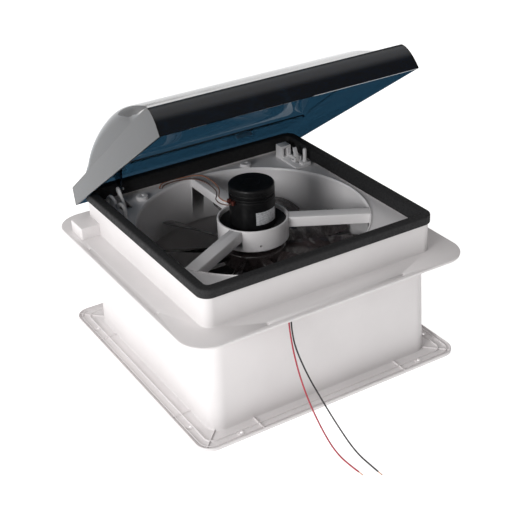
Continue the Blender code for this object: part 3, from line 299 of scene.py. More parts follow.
# The material of each slot named in the record, and the two nodes that differ from their slot's.
SLOT_MATERIALS = {
    "white_abs": WHITE,
    "seal_foam": SEAL,
    "smoked_acrylic": LID,
    "smoked_blade": BLADE,
    "motor_black": MOTOR,
    "steel": STEEL,
    "label_silver": LABEL,
    "copper": COPPER,
    "red_lead": RED_LEAD,
    "black_lead": BLACK_LEAD,
    "nylon_white": NYLON,
    "screen_mesh": MESH,
    "switch_black": SWITCH,
}
NODE_MATERIALS = {"motor_terminal_red": TERMINAL, "motor_terminal_black": TERMINAL}
NODE_SLOT = {part["node"]: part["material_slot"] for part in frame["record"]["subparts"]}
NODE_BODY = {
    node: body for body, nodes in frame["record"]["behaviour"]["bodies"].items() for node in nodes
}


# ---------------------------------------------------------------- mesh tools


def add_piece(name, mesh, material, smooth_angle=35):
    piece = bpy.data.objects.new(name, mesh)
    bpy.context.scene.collection.objects.link(piece)
    mesh.materials.clear()
    mesh.materials.append(material)
    mesh.shade_smooth()
    mesh.set_sharp_from_angle(angle=math.radians(smooth_angle))
    return piece


def from_bmesh(name, bm, material, smooth_angle=35):
    bmesh.ops.recalc_face_normals(bm, faces=bm.faces)
    mesh = bpy.data.meshes.new(name)
    bm.to_mesh(mesh)
    bm.free()
    return add_piece(name, mesh, material, smooth_angle)


def baked(piece, smooth_angle=35):
    """The same piece with its modifiers applied."""
    graph = bpy.context.evaluated_depsgraph_get()
    mesh = bpy.data.meshes.new_from_object(piece.evaluated_get(graph))
    piece.modifiers.clear()
    piece.data = mesh
    mesh.shade_smooth()
    mesh.set_sharp_from_angle(angle=math.radians(smooth_angle))
    return piece


def merged(pieces, material):
    """One object from several, which are used up."""
    bm = bmesh.new()
    for piece in pieces:
        piece.data.transform(piece.matrix_world)
        bm.from_mesh(piece.data)
        bpy.data.objects.remove(piece)
    return from_bmesh("tool", bm, material)


def combine(target, tool, operation):
    modifier = target.modifiers.new("join", "BOOLEAN")
    modifier.operation = operation
    modifier.solver = "EXACT"
    modifier.use_self = True
    modifier.object = tool
    baked(target)
    bpy.data.objects.remove(tool)


def join(target, *tools):
    combine(target, merged(tools, target.data.materials[0]), "UNION")


def cut(target, *tools):
    combine(target, merged(tools, target.data.materials[0]), "DIFFERENCE")


def keep(piece, node, *more_nodes):
    """The piece stands for these CAD nodes and rides on their body."""
    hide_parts(node, *more_nodes)
    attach(piece, NODE_BODY[node])
    return piece


def box(name, low, high, material=WHITE, turn=None, edge=0.0, segments=2):
    """A block between two corners, with rounded edges if edge is given, then turned."""
    bm = bmesh.new()
    bmesh.ops.create_cube(bm, size=1)
    low, high = Vector(low), Vector(high)
    bmesh.ops.scale(bm, vec=high - low, verts=bm.verts)
    bmesh.ops.translate(bm, vec=(low + high) / 2, verts=bm.verts)
    if edge:
        bmesh.ops.bevel(bm, geom=bm.edges[:], offset=edge, segments=segments, affect="EDGES", profile=0.5)
    if turn is not None:
        bmesh.ops.transform(bm, matrix=turn, verts=bm.verts)
    return from_bmesh(name, bm, material)


def rod(name, base, axis, length, radius, material=WHITE, sides=32, top_radius=None):
    """A round bar from its base along an axis; a cone if top_radius is given."""
    bm = bmesh.new()
    top = radius if top_radius is None else top_radius
    bmesh.ops.create_cone(bm, cap_ends=True, segments=sides, radius1=radius, radius2=top, depth=length)
    axis = Vector(axis).normalized()
    turn = UP.rotation_difference(axis).to_matrix().to_4x4()
    place = Matrix.Translation(Vector(base) + axis * length / 2) @ turn
    bmesh.ops.transform(bm, matrix=place, verts=bm.verts)
    return from_bmesh(name, bm, material)


def bridge(bm, rings, closed):
    """Faces between neighbouring rings of equally many points, and from the last to the first if closed."""
    pairs = list(zip(rings, rings[1:]))
    if closed:
        pairs.append((rings[-1], rings[0]))
    for low, high in pairs:
        for i in range(len(low)):
            j = (i + 1) % len(low)
            bm.faces.new((low[i], low[j], high[j], high[i]))


def filleted(corners, steps=4, closed=True):
    """A (distance, height) outline with each corner (distance, height, fillet radius) rounded.

    Each point is (distance, height, its distance beyond its corner's, that corner's index)."""
    found = []
    count = len(corners)
    for i, (across, height, radius) in enumerate(corners):
        here = Vector((across, height))
        if radius <= 0 or (not closed and i in (0, count - 1)):
            found.append((across, height, 0.0, i))
            continue
        before = Vector(corners[i - 1][:2]) - here
        after = Vector(corners[(i + 1) % count][:2]) - here
        half_angle = before.angle(after) / 2
        reach = radius / math.tan(half_angle)
        reach = min(reach, before.length * 0.49, after.length * 0.49)
        true_radius = reach * math.tan(half_angle)
        start, end = before.normalized() * reach, after.normalized() * reach
        centre = (before.normalized() + after.normalized()).normalized()
        centre *= true_radius / math.sin(half_angle)
        first, last = start - centre, end - centre
        for step in range(steps + 1):
            share = step / steps
            spoke = first.lerp(last, share).normalized() * true_radius
            point = here + centre + spoke
            found.append((point.x, point.y, point.x - across, i))
    return found


def turned(name, corners, material, sides=96, centre=(0, 0), steps=4, closed=True, smooth_angle=35):
    """A filleted profile turned about a vertical axis. An open profile starts and ends on the axis."""
    bm = bmesh.new()
    profile = [(across, height) for across, height, _, _ in filleted(corners, steps, closed)]
    rings = []
    for across, height in profile:
        if across < 1e-7:
            rings.append([bm.verts.new((centre[0], centre[1], height))])
            continue
        ring = []
        for side in range(sides):
            angle = 2 * math.pi * side / sides
            x, y = centre[0] + across * math.cos(angle), centre[1] + across * math.sin(angle)
            ring.append(bm.verts.new((x, y, height)))
        rings.append(ring)
    pairs = list(zip(rings, rings[1:]))
    if closed:
        pairs.append((rings[-1], rings[0]))
    for low, high in pairs:
        for i in range(sides):
            j = (i + 1) % sides
            if len(low) == 1 and len(high) == 1:
                break
            if len(low) == 1:
                bm.faces.new((low[0], high[j], high[i]))
            elif len(high) == 1:
                bm.faces.new((low[i], low[j], high[0]))
            else:
                bm.faces.new((low[i], low[j], high[j], high[i]))
    return from_bmesh(name, bm, material, smooth_angle)


def rounded_square(half, radius, arc_steps):
    """The outline of a square of this half width with round corners."""
    points = []
    for corner in range(4):
        middle = math.radians(45 + 90 * corner)
        centre = Vector((math.cos(middle), math.sin(middle))) * math.sqrt(2) * (half - radius)
        for step in range(arc_steps + 1):
            angle = math.radians(90 * corner + 90 * step / arc_steps)
            points.append(centre + Vector((math.cos(angle), math.sin(angle))) * radius)
    return points


def square_ring(name, corners, plan_radii, material, arc_steps=14, steps=4):
    """A filleted closed profile carried round a square; plan_radii holds each corner's radius in plan."""
    bm = bmesh.new()
    rings = []
    for half, height, off, index in filleted(corners, steps):
        plan = max(0.5 * MM, plan_radii[index] + off)
        rings.append([bm.verts.new((p.x, p.y, height)) for p in rounded_square(half, plan, arc_steps)])
    bridge(bm, rings, True)
    return from_bmesh(name, bm, material)


def four_way(x, y):
    """The point and its three quarter turns about the vertical axis."""
    return [Vector((x, y)), Vector((-y, x)), Vector((-x, -y)), Vector((y, -x))]


# ---------------------------------------------------------------- leads

# The routes repeat the CAD's, in metres.

POWER_RED_ROUTE = [
    (-0.0632, -0.1752, 0.149), (-0.0632, -0.181, 0.1486), (-0.0635, -0.1875, 0.143), (-0.0642, -0.191, 0.130),
    (-0.0652, -0.197, 0.112), (-0.0662, -0.206, 0.092), (-0.067, -0.219, 0.070), (-0.0676, -0.236, 0.049),
    (-0.0678, -0.255, 0.031), (-0.0676, -0.273, 0.0172), (-0.067, -0.290, 0.0074), (-0.066, -0.307, 0.0024),
    (-0.0648, -0.325, 0.0015), (-0.0636, -0.3387, 0.0015),
]
POWER_BLACK_ROUTE = [
    (-0.0608, -0.1752, 0.149), (-0.0608, -0.1814, 0.1487), (-0.0612, -0.1894, 0.1436),
    (-0.063, -0.1944, 0.1305), (-0.0634, -0.201, 0.112), (-0.061, -0.2105, 0.092), (-0.057, -0.224, 0.070),
    (-0.0528, -0.241, 0.050), (-0.0494, -0.260, 0.032), (-0.047, -0.279, 0.0178), (-0.0456, -0.297, 0.0078),
    (-0.0448, -0.315, 0.0025), (-0.0442, -0.335, 0.0015), (-0.0438, -0.3517, 0.0015),
]
POWER_LEAD_RADIUS = 1.05 * MM
MOTOR_RED_ROUTE = [
    (-0.0378, 0.0026, 0.225), (-0.040, 0.010, 0.2245), (-0.036, 0.028, 0.221), (-0.024, 0.050, 0.214),
    (-0.010, 0.075, 0.206), (0, 0.100, 0.201), (0.004, 0.125, 0.199), (0.002, 0.145, 0.1988),
    (-0.006, 0.157, 0.1974), (-0.020, 0.165, 0.1953), (-0.038, 0.1686, 0.1952), (-0.047, 0.1686, 0.1949),
    (-0.055, 0.1672, 0.1946), (-0.060, 0.1646, 0.1932), (-0.0616, 0.1634, 0.1906), (-0.0618, 0.1632, 0.1886),
]
MOTOR_BLACK_ROUTE = [
    (-0.0373, -0.0078, 0.225), (-0.0424, -0.0064, 0.2246), (-0.0455, 0.009, 0.222), (-0.039, 0.032, 0.217),
    (-0.026, 0.054, 0.210), (-0.013, 0.078, 0.203), (-0.005, 0.102, 0.198), (-0.002, 0.126, 0.1952),
    (-0.005, 0.145, 0.1943), (-0.014, 0.1565, 0.1942), (-0.028, 0.1622, 0.1938), (-0.038, 0.165, 0.1934),
    (-0.047, 0.165, 0.1929), (-0.053, 0.1636, 0.1927), (-0.057, 0.1618, 0.192), (-0.0589, 0.1608, 0.1904),
    (-0.0592, 0.1606, 0.1886),
]
MOTOR_LEAD_RADIUS = 0.85 * MM


def smooth_route(points, spacing):
    """Points at about the given spacing on a Catmull-Rom curve through the route's own points."""
    route = [Vector(point) for point in points]
    ends = [route[0] * 2 - route[1]] + route + [route[-1] * 2 - route[-2]]
    found = []
    for i in range(1, len(ends) - 2):
        before, here, after, beyond = ends[i - 1:i + 3]
        steps = max(1, round((after - here).length / spacing))
        for step in range(steps):
            t = step / steps
            found.append(
                0.5 * (2 * here + (after - before) * t + (2 * before - 5 * here + 4 * after - beyond) * t * t
                       + (3 * here - before - 3 * after + beyond) * t ** 3)
            )
    return found + [route[-1]]


def tube(name, points, radius, material, resolution=4):
    """A round curve with capped ends through the points."""
    curve = bpy.data.curves.new(name, "CURVE")
    curve.dimensions = "3D"
    curve.bevel_depth = radius
    curve.bevel_resolution = resolution
    curve.use_fill_caps = True
    spline = curve.splines.new("POLY")
    spline.points.add(len(points) - 1)
    for knot, point in zip(spline.points, points):
        knot.co = (*point, 1)
    curve.materials.append(material)
    piece = bpy.data.objects.new(name, curve)
    bpy.context.scene.collection.objects.link(piece)
    return piece


def mesh_from_tubes(name, tubes, material, smooth_angle=35):
    """One mesh piece from several tubes, which are used up."""
    graph = bpy.context.evaluated_depsgraph_get()
    bm = bmesh.new()
    for piece in tubes:
        mesh = bpy.data.meshes.new_from_object(piece.evaluated_get(graph))
        bm.from_mesh(mesh)
        bpy.data.objects.remove(piece)
        bpy.data.meshes.remove(mesh)
    bmesh.ops.remove_doubles(bm, verts=bm.verts, dist=1e-6)
    return from_bmesh(name, bm, material, smooth_angle)


def stripped_end(name, start, heading, node):
    """Seven bare strands, twisted, at the end of a lead."""
    side = heading.cross(UP).normalized()
    over = side.cross(heading)
    length, strand_radius, turn_radius, steps = 7.8 * MM, 0.2 * MM, 0.42 * MM, 16
    strands = []
    for index in range(7):
        points = []
        for step in range(steps + 1):
            share = step / steps
            along = length * share
            angle = 2 * math.pi * (index / 6 + share * 1.1)
            ring = 0 if index == 6 else turn_radius * (1 + 0.25 * share ** 3)
            points.append(
                start + heading * along + side * (ring * math.cos(angle)) + over * (ring * math.sin(angle))
            )
        strands.append(tube(f"strand_{index}", points, strand_radius, COPPER, 1))
    return keep(mesh_from_tubes(name, strands, COPPER, 60), node)


def make_power_lead(color, route, material):
    points = smooth_route(route, 2.5 * MM)
    lead = keep(tube(f"{color}_power_lead", points, POWER_LEAD_RADIUS, material), f"power_lead_{color}")
    heading = (points[-1] - points[-2]).normalized()
    end = stripped_end(f"{color}_strands", points[-1] + heading * 0.1 * MM, heading, f"bare_end_{color}")


make_power_lead("red", POWER_RED_ROUTE, RED_LEAD)
make_power_lead("black", POWER_BLACK_ROUTE, BLACK_LEAD)
for lead_color, lead_route, lead_material in (
    ("red", MOTOR_RED_ROUTE, ORANGE_LEAD),
    ("black", MOTOR_BLACK_ROUTE, BROWN_LEAD),
):
    keep(
        tube(f"{lead_color}_motor_lead", smooth_route(lead_route, 3 * MM), MOTOR_LEAD_RADIUS, lead_material),
        f"motor_lead_{lead_color}",
    )


# ---------------------------------------------------------------- housing


SCREW_SPOT = 163 * MM
GARNISH_HOLES, GARNISH_HOLE_ROW = (-144 * MM, 144 * MM), -192.5 * MM
FLANGE_HOLES, FLANGE_HOLE_ROW = (-104 * MM, 104 * MM), -205.5 * MM
CABLE_BOX = ((-203 * MM, 131 * MM, 160 * MM), (-174 * MM, 168 * MM, 178.5 * MM))
POST_LOW, POST_LENGTH, POST_RADIUS = 157.6 * MM, 30.1 * MM, 10.4 * MM


def make_garnish():
    half, lip = GARNISH_HIGH.x, 5.5 * MM
    top = GARNISH_HIGH.z
    foot, head, wall, floor, rib = 175 * MM, 172 * MM, 2.4 * MM, 2.2 * MM, 4.4 * MM
    corners = [(half, 0, 1.2 * MM), (half, lip, 0.9 * MM), (half - 2 * MM, lip, 0.9 * MM)]
    radii = [22 * MM, 22 * MM, 20 * MM]
    corners.append((half - 2 * MM, floor, 0.6 * MM))
    radii.append(20 * MM)
    for outer in (199.7 * MM, 189.6 * MM):
        inner = outer - 1.2 * MM
        for across, height, fillet in (
            (outer, floor, 0.4 * MM),
            (outer - 0.1 * MM, rib, 0.35 * MM),
            (inner + 0.1 * MM, rib, 0.35 * MM),
            (inner, floor, 0.4 * MM),
        ):
            corners.append((across, height, fillet))
            radii.append(22 * MM - (half - across) * 0.6)
    corners += [
        (foot, floor, 1.2 * MM),
        (head, top, 0.6 * MM),
        (head - wall, top, 0.6 * MM),
        (foot - wall, 0, 1.6 * MM),
    ]
    radii += [20 * MM, 22 * MM, 19.6 * MM, 17.6 * MM]
    garnish = square_ring("garnish_moulding", corners, radii, WHITE, 16, 3)
    ribs = []
    for side in range(4):
        spin = Matrix.Rotation(math.radians(90 * side), 4, "Z")
        for x in (-114 * MM, 114 * MM):
            low, high = (x - 0.6 * MM, -203.6 * MM, 1 * MM), (x + 0.6 * MM, -174 * MM, 4.2 * MM)
            ribs.append(box("rib", low, high, WHITE, spin, 0.25 * MM))
        diagonal = Matrix.Rotation(math.radians(90 * side + 45), 4, "Z")
        low, high = (-0.6 * MM, -279.4 * MM, 1 * MM), (0.6 * MM, -238 * MM, 4.2 * MM)
        ribs.append(box("rib", low, high, WHITE, diagonal, 0.25 * MM))
    for offset in GARNISH_HOLES:
        for spot in four_way(offset, GARNISH_HOLE_ROW):
            ribs.append(rod("hole_boss", (spot.x, spot.y, 1 * MM), UP, 2.4 * MM, 4.6 * MM))
    join(garnish, *ribs)
    holes = []
    for offset in GARNISH_HOLES:
        for spot in four_way(offset, GARNISH_HOLE_ROW):
            holes.append(rod("hole", (spot.x, spot.y, -5 * MM), UP, CUTTER_LENGTH, 2.2 * MM))
            sink = rod("sink", (spot.x, spot.y, -0.5 * MM), UP, 2 * MM, 4.4 * MM, top_radius=2.1 * MM)
            holes.append(sink)
    grommet_low, grommet_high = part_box("lead_grommet")
    middle = (grommet_low + grommet_high) / 2
    holes.append(rod("lead_hole", (middle.x, -head - 8 * MM, middle.z), (0, 1, 0), 16 * MM, 4.6 * MM))
    cut(garnish, *holes)
    keep(garnish, "ceiling_garnish")


def make_roof_base():
    half = BASE_HIGH.x
    low, top, neck, wall = 157 * MM, 161 * MM, 175 * MM, 3 * MM
    neck_top = BASE_HIGH.z
    corners = [
        (169.2 * MM, low + 0.6 * MM, 0.3 * MM),
        (173.5 * MM, low + 0.6 * MM, 0.2 * MM),
        (173.5 * MM, low, 0.2 * MM),
        (half, low, 1.6 * MM),
        (half, top, 1.6 * MM),
        (neck, top, 1.4 * MM),
        (neck, neck_top, 0.8 * MM),
        (neck - wall, neck_top, 0.8 * MM),
        (neck - wall, 158 * MM, 0.3 * MM),
        (167 * MM, 157.5 * MM, 0.3 * MM),
        (167 * MM, BASE_LOW.z, 0.6 * MM),
        (169.2 * MM, BASE_LOW.z, 0.6 * MM),
    ]
    radii = [19.2 * MM, 20 * MM, 20 * MM, 39 * MM, 39 * MM, 14 * MM, 14 * MM, 11 * MM, 11 * MM, 12 * MM]
    radii += [17 * MM, 19.2 * MM]
    base = square_ring("roof_base_moulding", corners, radii, WHITE, 20, 4)
    additions = []
    for spot in four_way(SCREW_SPOT, SCREW_SPOT):
        additions.append(rod("post", (spot.x, spot.y, POST_LOW), UP, POST_LENGTH, POST_RADIUS, sides=40))
    additions.append(box("cable_box", *CABLE_BOX, WHITE, None, 1.4 * MM, 4))
    join(base, *additions)
    holes = []
    for spot in four_way(SCREW_SPOT, SCREW_SPOT):
        holes.append(rod("post_hole", (spot.x, spot.y, 172 * MM), UP, CUTTER_LENGTH, 1.8 * MM, sides=20))
    for offset in FLANGE_HOLES:
        for spot in four_way(offset, FLANGE_HOLE_ROW):
            holes.append(rod("hole", (spot.x, spot.y, 150 * MM), UP, CUTTER_LENGTH, 2 * MM, sides=24))
            start = (spot.x, spot.y, top - 1.3 * MM)
            holes.append(rod("sink", start, UP, 2 * MM, 2 * MM, sides=24, top_radius=4.9 * MM))
    cut(base, *holes)
    keep(base, "roof_base")


def make_seal():
    half, leg_bottom, top, inner = SEAL_HIGH.x, SEAL_LOW.z, SEAL_HIGH.z, 164 * MM
    low, leg = 203.3 * MM, 171.4 * MM
    corners = [
        (half, low, 1.2 * MM),
        (half, top, 2.6 * MM),
        (inner, top, 2.6 * MM),
        (inner, leg_bottom, 1.2 * MM),
        (leg, leg_bottom, 1.2 * MM),
        (leg, low, 0.3 * MM),
    ]
    radii = [16.8 * MM, 16.8 * MM, 6.5 * MM, 6.5 * MM, 10.4 * MM, 10.4 * MM]
    seal = square_ring("foam_seal", corners, radii, SEAL, 16, 6)
    keep(seal, "neck_seal")


make_garnish()
make_roof_base()
make_seal()


# ---------------------------------------------------------------- fan shroud


DECK_LOW, DECK_TOP = 188 * MM, 191 * MM
DUCT_OUTER, DUCT_INNER = 164.8 * MM, 161.5 * MM
CUP_OUTER, CUP_INNER, CUP_BORE = 50 * MM, 47 * MM, 13 * MM
SPOKE_ANGLES, SPOKE_HALF = (-30, 90, 210), 10 * MM
DECK_BOSSES = ((80 * MM, 153 * MM), (-100 * MM, 144 * MM))
LINK_SLOT = ((-140 * MM, 127 * MM, 180 * MM), (-122 * MM, 161 * MM, 200 * MM))
HOOK_RADIUS = 2.8 * MM
# Two small hooks beside the link, in millimetres.
DECK_HOOKS = (
    ((-147, 163, 189.5), (-146, 161, 198), (-144.4, 152, 204), (-145.2, 140, 203.5), (-146.3, 134, 198)),
    ((-144.5, 131, 197), (-143.6, 124, 203), (-143.6, 113, 204), (-144, 107, 199), (-144, 106, 189.5)),
)


def make_shroud():
    bm = bmesh.new()
    outline = rounded_square(DECK_HIGH.x, 10.6 * MM, 12)
    rings = [[bm.verts.new((p.x, p.y, z)) for p in outline] for z in (DECK_LOW, DECK_TOP)]
    bridge(bm, rings, False)
    bm.faces.new(rings[0])
    bm.faces.new(rings[1])
    shroud = from_bmesh("shroud_moulding", bm, SHROUD_WHITE_PAINTED_LIGHT)
    cut(shroud, rod("deck_hole", (0, 0, DECK_LOW - 9 * MM), UP, CUTTER_LENGTH, 163.2 * MM, sides=160))
    duct = [
        (DUCT_OUTER, DUCT_LOW.z, 0.8 * MM),
        (DUCT_OUTER - 2.6 * MM, DUCT_LOW.z, 0.8 * MM),
        (DUCT_INNER, DUCT_HIGH.z - 3.2 * MM, 2.5 * MM),
        (DUCT_INNER + 1.6 * MM, DUCT_HIGH.z, 1.2 * MM),
        (DUCT_OUTER, DUCT_HIGH.z, 0.8 * MM),
    ]
    cup_top, cup_low, cup_floor = CUP_HIGH.z, CUP_LOW.z, CAN_LOW.z - 0.3 * MM
    cup = [
        (CUP_OUTER, cup_top, 0.9 * MM),
        (CUP_OUTER, cup_low, 2.2 * MM),
        (CUP_BORE, cup_low, 0.6 * MM),
        (CUP_BORE, cup_floor, 0.6 * MM),
        (CUP_INNER, cup_floor, 1 * MM),
        (CUP_INNER, cup_top, 0.9 * MM),
    ]
    additions = [
        turned("duct_wall", duct, SHROUD_WHITE_PAINTED_LIGHT, 160),
        turned("motor_cup", cup, SHROUD_WHITE_PAINTED_LIGHT, 120),
    ]
    for angle in SPOKE_ANGLES:
        spin = Matrix.Rotation(math.radians(angle), 4, "Z")
        low, high = (48.3 * MM, -SPOKE_HALF, 177.5 * MM), (163.1 * MM, SPOKE_HALF, 192.7 * MM)
        additions.append(box("spoke", low, high, SHROUD_WHITE_PAINTED_LIGHT, spin, 1.6 * MM, 4))
    boss_low, boss_top, boss_radius = 190.4 * MM, 196.5 * MM, 8.5 * MM
    boss = [(0, boss_low, 0), (0, boss_top, 0), (boss_radius, boss_top, 0.8 * MM), (boss_radius, boss_low, 0)]
    for x, y in DECK_BOSSES:
        additions.append(turned("boss", boss, SHROUD_WHITE_PAINTED_LIGHT, 40, (x, y), closed=False))
    for route in DECK_HOOKS:
        points = smooth_route([Vector(point) * MM for point in route], 1 * MM)
        hook = tube("deck_hook", points, HOOK_RADIUS, SHROUD_WHITE_PAINTED_LIGHT)
        additions.append(mesh_from_tubes("deck_hook", [hook], SHROUD_WHITE_PAINTED_LIGHT))
    join(shroud, *additions)
    holes = [rod("lead_hole", (-60.5 * MM, 161.9 * MM, 180 * MM), UP, CUTTER_LENGTH, 4 * MM, sides=32)]
    for x, y in DECK_BOSSES:
        holes.append(rod("boss_hole", (x, y, 184 * MM), UP, CUTTER_LENGTH, 3.2 * MM, sides=32))
    for spot in four_way(SCREW_SPOT, SCREW_SPOT):
        holes.append(rod("deck_hole", (spot.x, spot.y, 180 * MM), UP, CUTTER_LENGTH, 2.1 * MM, sides=20))
    for index in range(3):
        angle = math.radians(30 + 120 * index)
        spot = (22 * MM * math.cos(angle), 22 * MM * math.sin(angle), 150 * MM)
        holes.append(rod("cup_hole", spot, UP, CUTTER_LENGTH, 2.1 * MM, sides=20))
    toward_front = Vector((math.cos(-1.9), math.sin(-1.9), 0))
    start = (30 * MM * toward_front.x, 30 * MM * toward_front.y, 170.5 * MM)
    holes.append(rod("side_hole", start, toward_front, 40 * MM, 1.6 * MM, sides=20))
    holes.append(box("link_slot", *LINK_SLOT, SHROUD_WHITE_PAINTED_LIGHT))
    cut(shroud, *holes)
    keep(shroud, "shroud_deck", "shroud_duct", "motor_spider")


make_shroud()


# ---------------------------------------------------------------- motor


def make_motor():
    radius, low, top = CAN_HIGH.x, CAN_LOW.z, CAN_HIGH.z
    can = [
        (0, low, 0),
        (radius, low, 1.2 * MM),
        (radius, top - 5 * MM, 0.3 * MM),
        (radius - 0.5 * MM, top - 4.4 * MM, 0.2 * MM),
        (radius - 0.5 * MM, top - 3 * MM, 0.2 * MM),
        (radius, top - 2.4 * MM, 0.3 * MM),
        (radius, top, 0.6 * MM),
        (0, top, 0),
    ]
    keep(turned("motor_body", can, MOTOR, 120, closed=False), "motor_can")
    low, top = CAP_LOW.z, CAP_HIGH.z
    cap = [
        (0, low, 0),
        (radius - 1 * MM, low, 0.3 * MM),
        (radius - 1 * MM, low + 1.6 * MM, 0.3 * MM),
        (radius, low + 2.4 * MM, 0.5 * MM),
        (radius, low + 5 * MM, 0.3 * MM),
        (radius - 0.4 * MM, low + 5.5 * MM, 0.2 * MM),
        (radius - 0.4 * MM, low + 6.2 * MM, 0.2 * MM),
        (radius, low + 6.7 * MM, 0.3 * MM),
        (radius, top, 3.2 * MM),
        (12 * MM, top, 0.5 * MM),
        (11 * MM, top - 0.7 * MM, 0.5 * MM),
        (0, top - 0.7 * MM, 0),
    ]
    keep(turned("motor_cap", cap, MOTOR, 120, closed=False), "motor_end_cap")
    damper_low, damper_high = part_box("motor_damper")
    outer = damper_high.x
    damper = [
        (outer, damper_low.z, 0.5 * MM),
        (outer, damper_low.z + 7.2 * MM, 0.8 * MM),
        (radius + 7 * MM, damper_low.z + 5.6 * MM, 4 * MM),
        (radius + 0.3 * MM, damper_low.z + 4.2 * MM, 0.3 * MM),
        (radius + 0.3 * MM, damper_low.z, 0.5 * MM),
    ]
    keep(turned("motor_boot", damper, SEAL, 120), "motor_damper")


LABEL_FROM, LABEL_TO, LABEL_STEPS = math.radians(-112), math.radians(-50), 28


def make_label():
    low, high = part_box("motor_label")
    inner, outer = CAN_HIGH.x + 0.12 * MM, CAN_HIGH.x + 0.4 * MM
    angles = [LABEL_FROM + (LABEL_TO - LABEL_FROM) * step / LABEL_STEPS for step in range(LABEL_STEPS + 1)]
    bm = bmesh.new()
    rings = []
    for z in (low.z, low.z + 0.4 * MM, high.z - 0.4 * MM, high.z):
        face = outer if low.z < z < high.z else outer - 0.12 * MM
        around = [(face, angle) for angle in angles] + [(inner, angle) for angle in reversed(angles)]
        points = [(radius * math.cos(angle), radius * math.sin(angle), z) for radius, angle in around]
        rings.append([bm.verts.new(point) for point in points])
    bridge(bm, rings, False)
    bm.faces.new(rings[0])
    bm.faces.new(rings[-1])
    keep(from_bmesh("label_film", bm, LABEL), "motor_label")


make_motor()
make_label()


# ---------------------------------------------------------------- fan


BLADE_COUNT, BLADE_ROOT, BLADE_TIP = 10, 43.4 * MM, 156 * MM
BLADE_RADIAL_STEPS, BLADE_CHORD_STEPS = 16, 12


def make_fan():
    hub_radius, top, low = 45 * MM, 152.5 * MM, 128 * MM
    bore = 4.3 * MM
    hub = [
        (bore, top, 0.3 * MM),
        (bore, low, 0.3 * MM),
        (9 * MM, low, 0.6 * MM),
        (9 * MM, top - 4 * MM, 1.5 * MM),
        (hub_radius - 2.5 * MM, top - 4 * MM, 2 * MM),
        (hub_radius - 2.5 * MM, low, 0.6 * MM),
        (hub_radius, low, 0.6 * MM),
        (hub_radius, top, 3 * MM),
    ]
    fan = turned("smoked_fan", hub, BLADE, 96)
    middle = (top + low) / 2 - 1 * MM
    join(fan, *[make_blade(index, middle) for index in range(BLADE_COUNT)])
    keep(fan, "fan_impeller")


def make_blade(index, middle):
    """A cambered blade that widens and flattens towards its tip; middle is its height."""
    bm = bmesh.new()
    rings = []
    for i in range(BLADE_RADIAL_STEPS + 1):
        share = i / BLADE_RADIAL_STEPS
        radius = BLADE_ROOT + (BLADE_TIP - BLADE_ROOT) * share
        chord = (24 + 26 * share) * MM
        if share > 0.8:
            chord *= math.sqrt(1 - 0.35 * ((share - 0.8) / 0.2) ** 2)
        pitch = math.radians(44 - 22 * share)
        lead = 10 * share * MM
        upper, lower = [], []
        for j in range(BLADE_CHORD_STEPS + 1):
            along = j / BLADE_CHORD_STEPS - 0.5
            arc = (lead + along * chord * math.cos(pitch)) / radius
            angle = arc + 2 * math.pi * index / BLADE_COUNT
            swell = 1 - 4 * along * along
            height = middle + along * chord * math.sin(pitch) + 2.5 * MM * swell
            thick = (0.35 + 0.85 * math.sqrt(max(0, swell))) * MM
            flat = Vector((radius * math.cos(angle), radius * math.sin(angle), height))
            upper.append(bm.verts.new(flat + Vector((0, 0, thick))))
            lower.append(bm.verts.new(flat - Vector((0, 0, thick))))
        rings.append(upper + lower[::-1])
    bridge(bm, rings, False)
    bm.faces.new(rings[0])
    bm.faces.new(rings[-1])
    return from_bmesh("blade", bm, BLADE)


make_fan()


# ---------------------------------------------------------------- lid

LID_REAR, LID_RIM, LID_LENGTH = 194.75 * MM, 193.2 * MM, 379 * MM
LID_REAR_HALF, LID_FRONT_HALF = 184 * MM, 188 * MM
LID_WALL = 2.5 * MM
LID_REAR_HEIGHT, LID_FRONT_HEIGHT, LID_SETBACK = 25.6 * MM, 39.6 * MM, 19.4 * MM
LID_DRAFT, LID_SIDE_DRAFT = 3.5 * MM, 2.5 * MM
DOME_HEIGHT, DOME_START, DOME_PEAK, DOME_SHOULDER = 37.8 * MM, 78 * MM, 203 * MM, 19.2 * MM
LID_EDGE, LID_WELD, LID_SEAM = 1.3 * MM, 0.12 * MM, 0.01 * MM
LID_ARC_STEPS, SIDE_ARC_STEPS = 12, 14
CREASE_LEDGE, CREASE_FOOT = 0.9 * MM, 0.35 * MM
# The lug's pin while the lid is closed, and the lug's own sizes.
LUG_X, LUG_Y, LUG_Z = -131 * MM, 151.25 * MM, 192.1 * MM
LUG_RADIUS, LUG_BORE_RADIUS = 4.3 * MM, 2.5 * MM


def lid_crease(u):
    """The crease's height over the rim at a distance u from the rear edge."""
    return LID_REAR_HEIGHT + (LID_FRONT_HEIGHT - LID_REAR_HEIGHT) * u / (LID_LENGTH - LID_SETBACK)


def lid_dome(u):
    """How far the middle of the dome rises above the crease: steep at the rear, then a long fall."""
    end = LID_LENGTH - LID_SETBACK
    if u <= DOME_START or u >= end:
        return 0
    if u < DOME_PEAK:
        share = (DOME_PEAK - u) / (DOME_PEAK - DOME_START)
        return DOME_HEIGHT * math.sqrt(1 - share ** 1.9)
    share = (u - DOME_PEAK) / (end - DOME_PEAK)
    return DOME_HEIGHT * (1 - share ** 2.5) ** 1.8


def lid_half(u, share):
    """Half the lid's width; share runs from 0 at the rim to 1 at the crease."""
    return LID_REAR_HALF + (LID_FRONT_HALF - LID_REAR_HALF) * u / LID_LENGTH - LID_SIDE_DRAFT * share


def lid_front(share):
    """How far forward the front band reaches; share as in lid_half."""
    return LID_LENGTH - LID_SETBACK * (1 - math.sqrt(1 - share * share))


def lid_point(x, u, w):
    """From the closed lid's own sizes to the open lid's place."""
    back, up = LID_REAR - u - HINGE.y, LID_RIM + w - HINGE.z
    turn_cos, turn_sin = math.cos(LID_ANGLE), math.sin(LID_ANGLE)
    return Vector((x, HINGE.y + back * turn_cos + up * turn_sin, HINGE.z - back * turn_sin + up * turn_cos))


